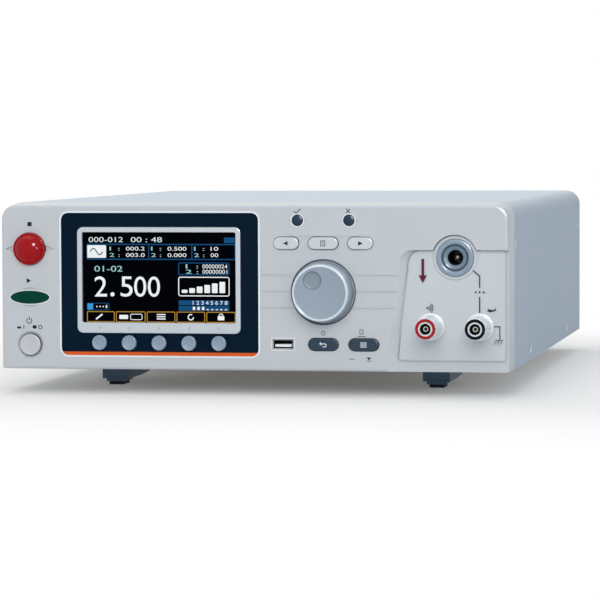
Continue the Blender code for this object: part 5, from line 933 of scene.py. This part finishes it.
for column, (left, wide, first, second) in enumerate(columns):
    screen_lines += [
        (f"mark_{column}", "1 :", left, 74.2, 2.4, 6.5, TEAL_PIXELS),
        (f"mark_low_{column}", "2 :", left, 70.2, 2.4, 6.5, TEAL_PIXELS),
        (f"value_{column}", first, left + 10.5, 74.2, 2.4, wide, WHITE_PIXELS),
        (f"value_low_{column}", second, left + 10.5, 70.2, 2.4, wide, WHITE_PIXELS),
    ]
for label, words, left, foot, height, spread, pixels in screen_lines:
    figures(f"screen_{label}", words, left, foot, height, spread, SCREEN_FRONT, LIT, pixels)

# Circuit drawn on the terminal plate
printed(
    "circuit_line",
    [
        ribbon([(137.9, 62.4), (141.9, 59.2), (141.9, 52.0)], 0.65),
        ribbon([(141.9, 46.4), (141.9, 36.6)], 0.65),
        ribbon([(150.2, 28.2), (154.3, 28.2), (154.3, 20.4)], 0.5),
        rectangle(151.6, 19.8, 4.6, 0.35),
    ]
    + [ribbon([(x, 19.7), (x - 1.3, 17.3)], 0.3) for x in (152.0, 153.9, 155.8)]
    + [round_outline(x, 49.2, 1.2, 14) for x in (139.4, 141.9, 144.4)],
    PLATE_FRONT,
)
arrow = [(-0.8, 14.8), (0.8, 14.8), (0.8, 4.6), (2.5, 4.6), (0.0, 0.0), (-2.5, 4.6), (-0.8, 4.6)]
printed("output_arrow", [moved(arrow, 106.8, 54.8)], PLATE_FRONT, MAROON_INK)
printed(
    "continuity_mark",
    [round_outline(109.4, 39.4, 1.1, 14)]
    + [ribbon(arc_points(109.4, 39.4, radius, -48, 48, 8), 0.4) for radius in (1.5, 2.6, 3.7)],
    PLATE_FRONT,
)
printed(
    "return_mark",
    [
        ribbon([(151.6, 39.6), (151.6, 38.2), (147.6, 38.2)], 0.45),
        [(146.4, 38.2), (148.0, 39.3), (148.0, 37.1)],
    ],
    PLATE_FRONT,
)

# Seam between the terminal plate and the front, open where the socket's boss crosses it: a strip a little
# darker than the plate, painted shade in the seam
flat_piece(
    "plate_seam",
    [
        ribbon(
            [(111.0, 74.65)]
            + arc_points(106.3, 66.4, 8.25, 90, 174, 8)
            + arc_points(93.45, 9.3, 2.3, 174, 270, 6)
            + arc_points(155.7, 9.25, 2.25, 270, 360, 6)
            + arc_points(155.7, 72.4, 2.25, 0, 90, 6)
            + [(142.6, 74.65)],
            0.55,
        )
    ],
    PLATE_FRONT + 0.3, 0.3, SEAM_SHADE_ABS,
)

# Screws on both sides of the cover
side_screw = screw_blank(5.3, 1.1)
for label, facing, across in (("right", FACING_RIGHT, 159.85), ("left", FACING_LEFT, -159.85)):
    for number, (depth, rise) in enumerate(((29.5, 78.5), (115.7, 7.3), (357.2, 7.3), (439.6, 79.0)), 1):
        name = f"side_screw_{label}_{number}"
        copied(side_screw, name, place(across, depth, rise), facing, BRIGHT_ZINC)
bpy.data.objects.remove(side_screw)

# Fan guard: round wire rings welded to two crossed rods
fan_across, fan_rise, guard_front = node_face("fan_guard")
rod_depth = guard_front + GUARD_WIRE / 2
for number in range(1, GUARD_RINGS + 1):
    reach, depth = number * GUARD_PITCH - GUARD_WIRE / 2, rod_depth + 0.7 * GUARD_WIRE
    section = arc_points(reach, depth, GUARD_WIRE / 2, 0, 360, 8)
    spun(
        f"guard_ring_{number}", section, fan_across, fan_rise, 0.0, NICKEL,
        replaced=("fan_guard",) if number == GUARD_RINGS else (), steps=16 + 14 * number,
    )
for number, turn in enumerate((45, 135), 1):
    middle = place(fan_across, rod_depth, fan_rise)
    rod = cylinder(12, GUARD_WIRE / 2, 2 * GUARD_REACH, middle, (0.0, radians(turn), 0.0))
    bpy.ops.object.mode_set(mode="EDIT")
    bpy.ops.mesh.select_mode(type="FACE")
    bpy.ops.mesh.select_all(action="DESELECT")
    bpy.ops.mesh.select_face_by_sides(number=4, type="GREATER")
    bpy.ops.mesh.bevel(offset=0.35 * MM, segments=2)
    bpy.ops.object.mode_set(mode="OBJECT")
    bpy.ops.object.shade_smooth_by_angle(angle=radians(40))
    finish(rod, f"guard_rod_{number}", NICKEL)

# Rear fasteners: each row is a kind, its model, how far it stands off the panel and its places
rear_screw = screw_blank(5.6, 1.9)
jack_nut = nut_blank(4.8, 3.6, 2.4)
earth_nut = nut_blank(7.0, 2.6, 4.2)
panel_spots = ((-152.0, 94.0), (0.0, 96.5), (152.0, 94.0), (-152.0, 8.0), (-20.0, 6.5), (152.0, 8.0))
fan_spots = ((87.0, 27.0), (137.0, 27.0), (87.0, 77.0), (137.0, 77.0))
jack_spots = ((-90.5, 58.0), (-65.5, 58.0), (-90.5, 80.0), (-65.5, 80.0))
for kind, blank, off, spots in (
    ("rear_screw", rear_screw, 0.0, panel_spots),
    ("fan_screw", rear_screw, 1.6, fan_spots),
    ("inlet_screw", rear_screw, 2.3, ((-148.0, INLET_RISE), (-108.0, INLET_RISE))),
    ("jack_nut", jack_nut, 1.35, jack_spots),
):
    for number, (across, rise) in enumerate(spots, 1):
        copied(blank, f"{kind}_{number}", place(across, REAR + off, rise), FACING_BACK, NICKEL)
copied(earth_nut, "earth_nut", place(EARTH_ACROSS, REAR + 0.9, EARTH_RISE), FACING_BACK, NICKEL)
for blank in (rear_screw, jack_nut, earth_nut):
    bpy.data.objects.remove(blank)
spun(
    "earth_washer",
    [(2.2, 0.0), (4.6, 0.0), (4.7, 0.15), (4.7, 0.75), (4.6, 0.9), (2.2, 0.9)],
    EARTH_ACROSS, EARTH_RISE, REAR, NICKEL, steps=36,
)
thread = [(2.0 if i % 2 else 1.75, 0.2 + 0.25 * i) for i in range(20)]
spun(
    "earth_stud",
    [(0.0, -0.2), (2.0, -0.2)] + thread + [(1.4, 5.4), (0.0, 5.4)],
    EARTH_ACROSS, EARTH_RISE, REAR, NICKEL, steps=24,
)
bars = [rectangle(*bar, 0.5) for bar in ((-120.4, 69.6, 4.8), (-119.6, 68.5, 3.2), (-118.8, 67.4, 1.6))]
flat_piece("earth_mark", [ribbon([(-118.0, 72.4), (-118.0, 70.2)], 0.5)] + bars, REAR, INK, DARK_INK)

# Data ports: a flange, a hollow shroud and an insulator with its gilt pins
for node, rise in (("signal_port", 80.0), ("serial_port", 58.0)):
    shroud = [
        (-84.6, -4.0), (-71.4, -4.0), (-70.2, -2.8), (-69.4, 2.4), (-70.6, 4.0), (-85.4, 4.0), (-86.6, 2.4),
        (-85.8, -2.8),
    ]
    opening = [(PORT_ACROSS + (x - PORT_ACROSS) * 0.93, rise + z * 0.86) for x, z in shroud]
    flange = [rounded(-93.4, rise - 6.25, 30.8, 12.5, 1.2), opening]
    flat_piece(f"{node}_flange", flange, REAR + 0.3, 1.0, TIN_PLATE, replaced=(node,))
    flat_piece(f"{node}_shroud", [moved(shroud, 0, rise), opening], REAR - 10.0, 15.2, TIN_PLATE)
    flat_piece(f"{node}_insulator", [opening], REAR - 9.0, 10.4, NYLON_BLACK_AND_SHADE)
    flat_piece(
        f"{node}_pins",
        [round_outline(PORT_ACROSS + 2.76 * (i - 2), rise + 1.42, 1.0, 12) for i in range(5)]
        + [round_outline(PORT_ACROSS + 2.76 * (i - 1.5), rise - 1.42, 1.0, 12) for i in range(4)],
        REAR + 1.0, 3.4, GOLD_FLASH,
    )
flat_piece("usb_b_tongue", [rounded(-80.9, 32.3, 5.8, 3.3, 0.2)], REAR - 8.0, 7.0, TONGUE_NYLON)
pins = [
    rectangle(INLET_ACROSS + x - 1.06, INLET_RISE + z - 2.06, 2.12, 4.12)
    for x, z in ((-7.0, -2.0), (0.0, 2.0), (7.0, -2.0))
]
flat_piece("inlet_pins", pins, REAR - 13.4, 10.8, NICKEL)

# Blank plate over the option slot, held by two slotted thumb screws
flat_piece("option_plate", [rounded(-43.0, 66.4, 86.0, 24.6, 1.0)], REAR, 0.9, TIN_PLATE)
for number, across in enumerate((-37.0, 37.0), 1):
    thumb_screw = spun(
        f"option_screw_{number}",
        [
            (0.0, 0.3), (1.6, 0.3), (1.6, 0.9), (3.5, 0.9), (3.9, 1.2), (3.9, 3.8), (3.5, 4.4), (2.8, 4.7),
            (0.0, 4.7),
        ],
        across, OPTION_RISE, REAR, NICKEL, steps=36,
    )
    carve(thumb_screw, [bar_cutter(9.0, 1.6, 0.9, place(across, REAR + 4.6, OPTION_RISE))])

# Numbers printed over the outputs
for number in range(1, 9):
    column, row = (number - 1) % 4, (number - 1) // 4
    figures(
        f"output_number_{number}", str(number), 34.85 - 24.0 * column, 59.3 - 26.0 * row, 2.2, 1.7,
        REAR + 2.32, INK, PALE_INK, behind=True,
    )

# Camera
level = Vector((cos(CAMERA_YAW), sin(CAMERA_YAW), 0.0))
ahead = Vector((-sin(CAMERA_YAW), cos(CAMERA_YAW), 0.0))
forward = cos(CAMERA_PITCH) * ahead - sin(CAMERA_PITCH) * Vector((0.0, 0.0, 1.0))
upright = level.cross(forward)
right = cos(CAMERA_ROLL) * level + sin(CAMERA_ROLL) * upright
up = -sin(CAMERA_ROLL) * level + cos(CAMERA_ROLL) * upright
lens = bpy.data.cameras.new("photo_camera")
lens.sensor_width = SENSOR
lens.lens = FOCAL_PIXELS / PICTURE_PIXELS * SENSOR
lens.clip_start = 0.05
lens.clip_end = 50.0
camera = linked("photo_camera", lens)
camera.matrix_world = Matrix.Translation(CAMERA_PLACE) @ Matrix((right, up, -forward)).transposed().to_4x4()
SCENE.camera = camera
SCENE.view_settings.view_transform = "Standard"


def seen_share(tree):
    """1 for rays that see the background: from the camera, in a reflection or through glass."""
    rays = add_node(tree, "LightPath")
    share = rays.outputs["Is Camera Ray"]
    for kind in ("Is Glossy Ray", "Is Transmission Ray"):
        either = add_node(tree, "Math", {"operation": "MAXIMUM"}, {0: share, 1: rays.outputs[kind]})
        share = either.outputs[0]
    return share


def lamp(name, spot, aim, size, power, tint=(1.0, 1.0, 1.0), lights=True, shines=True, shades=True):
    """A soft rectangular studio lamp that looks at a point.

    It lights surfaces, shines in gloss, or both, and throws shadows unless shades is off.
    """
    light = bpy.data.lights.new(name, "AREA")
    light.shape = "RECTANGLE"
    light.size, light.size_y = size
    light.energy = power
    light.color = tint
    light.use_shadow = shades
    item = linked(name, light)
    item.visible_diffuse = lights
    item.visible_glossy = shines
    turn = (Vector(aim) - Vector(spot)).to_track_quat("-Z", "Y")
    item.matrix_world = Matrix.Translation(Vector(spot)) @ turn.to_matrix().to_4x4()


lamp("overhead_lamp", (-0.3, 0.2, 2.0), (0.0, 0.0, 0.0), (2.0, 2.0), 22.0, (1.0, 0.91, 0.77))
lamp("front_lamp", (0.3, -2.6, 1.2), (0.0, -0.2, 0.05), (2.2, 1.6), 42.5, (1.0, 0.975, 0.935), shines=False)
lamp(
    "rear_lamp", (-1.3, 1.9, 1.5), (0.0, 0.1, 0.05), (0.9, 0.9), 22.0, (1.0, 0.95, 0.88),
    shines=False, shades=False,
)
lamp("right_strip_card", (1.9, -1.6, 0.3), (0.05, -0.22, 0.05), (0.2, 0.7), 14.0, lights=False)
lamp("window_card", (1.0, -1.7, 1.15), (-0.14, -0.2, 0.09), (0.68, 0.6), 86.0, lights=False)

# Surroundings: white for the camera and for reflections, a plain cool level for the rest
world = bpy.data.worlds.new("studio")
SCENE.world = world
world.use_nodes = True
tree = world.node_tree
tree.nodes.clear()
ambient = add_node(tree, "Background", {"Color": (0.85, 1.0, 1.19, 1.0), "Strength": 0.41})
white = add_node(tree, "Background", {"Color": (1.0, 1.0, 1.0, 1.0), "Strength": 1.0})
parts = {0: seen_share(tree), 1: ambient.outputs[0], 2: white.outputs[0]}
blend = add_node(tree, "MixShader", (), parts)
add_node(tree, "OutputWorld", (), {"Surface": blend.outputs[0]})

# Floor: matt white paper that keeps the shadow near the part and is plain white further off
bpy.ops.mesh.primitive_plane_add(size=14.0, location=(0.0, 0.0, 0.0))
floor = bpy.context.active_object
floor.name = "floor"
floor_paper = bpy.data.materials.new("matt_white_paper")
floor_paper.use_nodes = True
tree = floor_paper.node_tree
tree.nodes.clear()
seen = seen_share(tree)
ends = {"data_type": "RGBA", 6: linear("#D6D9DC"), 7: linear("#DEDEDE")}
tone = add_node(tree, "Mix", ends, {0: seen})
paper = add_node(tree, "BsdfDiffuse", (), {"Color": tone.outputs[2]})
plain = add_node(tree, "Emission", {"Color": (1.0, 1.0, 1.0, 1.0), "Strength": 1.0})
spot = add_node(tree, "TexCoord").outputs["Object"]
folded = add_node(tree, "VectorMath", {"operation": "ABSOLUTE"}, {0: spot})
half_size = (CAD_BOX[1] - CAD_BOX[0]) / 2
beyond = add_node(tree, "VectorMath", {"operation": "SUBTRACT", 1: half_size}, {0: folded.outputs[0]})
ways = add_node(tree, "SeparateXYZ", (), {0: beyond.outputs[0]})
outside = add_node(tree, "Math", {"operation": "MAXIMUM"}, {0: ways.outputs["X"], 1: ways.outputs["Y"]})
fade = {"interpolation_type": "SMOOTHSTEP", "From Min": SHADOW_FADE[0], "From Max": SHADOW_FADE[1]}
away = add_node(tree, "MapRange", fade, {"Value": outside.outputs[0]})
share = add_node(tree, "Math", {"operation": "MULTIPLY"}, {0: seen, 1: away.outputs["Result"]})
parts = {0: share.outputs[0], 1: paper.outputs[0], 2: plain.outputs[0]}
both = add_node(tree, "MixShader", (), parts)
add_node(tree, "OutputMaterial", (), {"Surface": both.outputs[0]})
floor.data.materials.append(floor_paper)
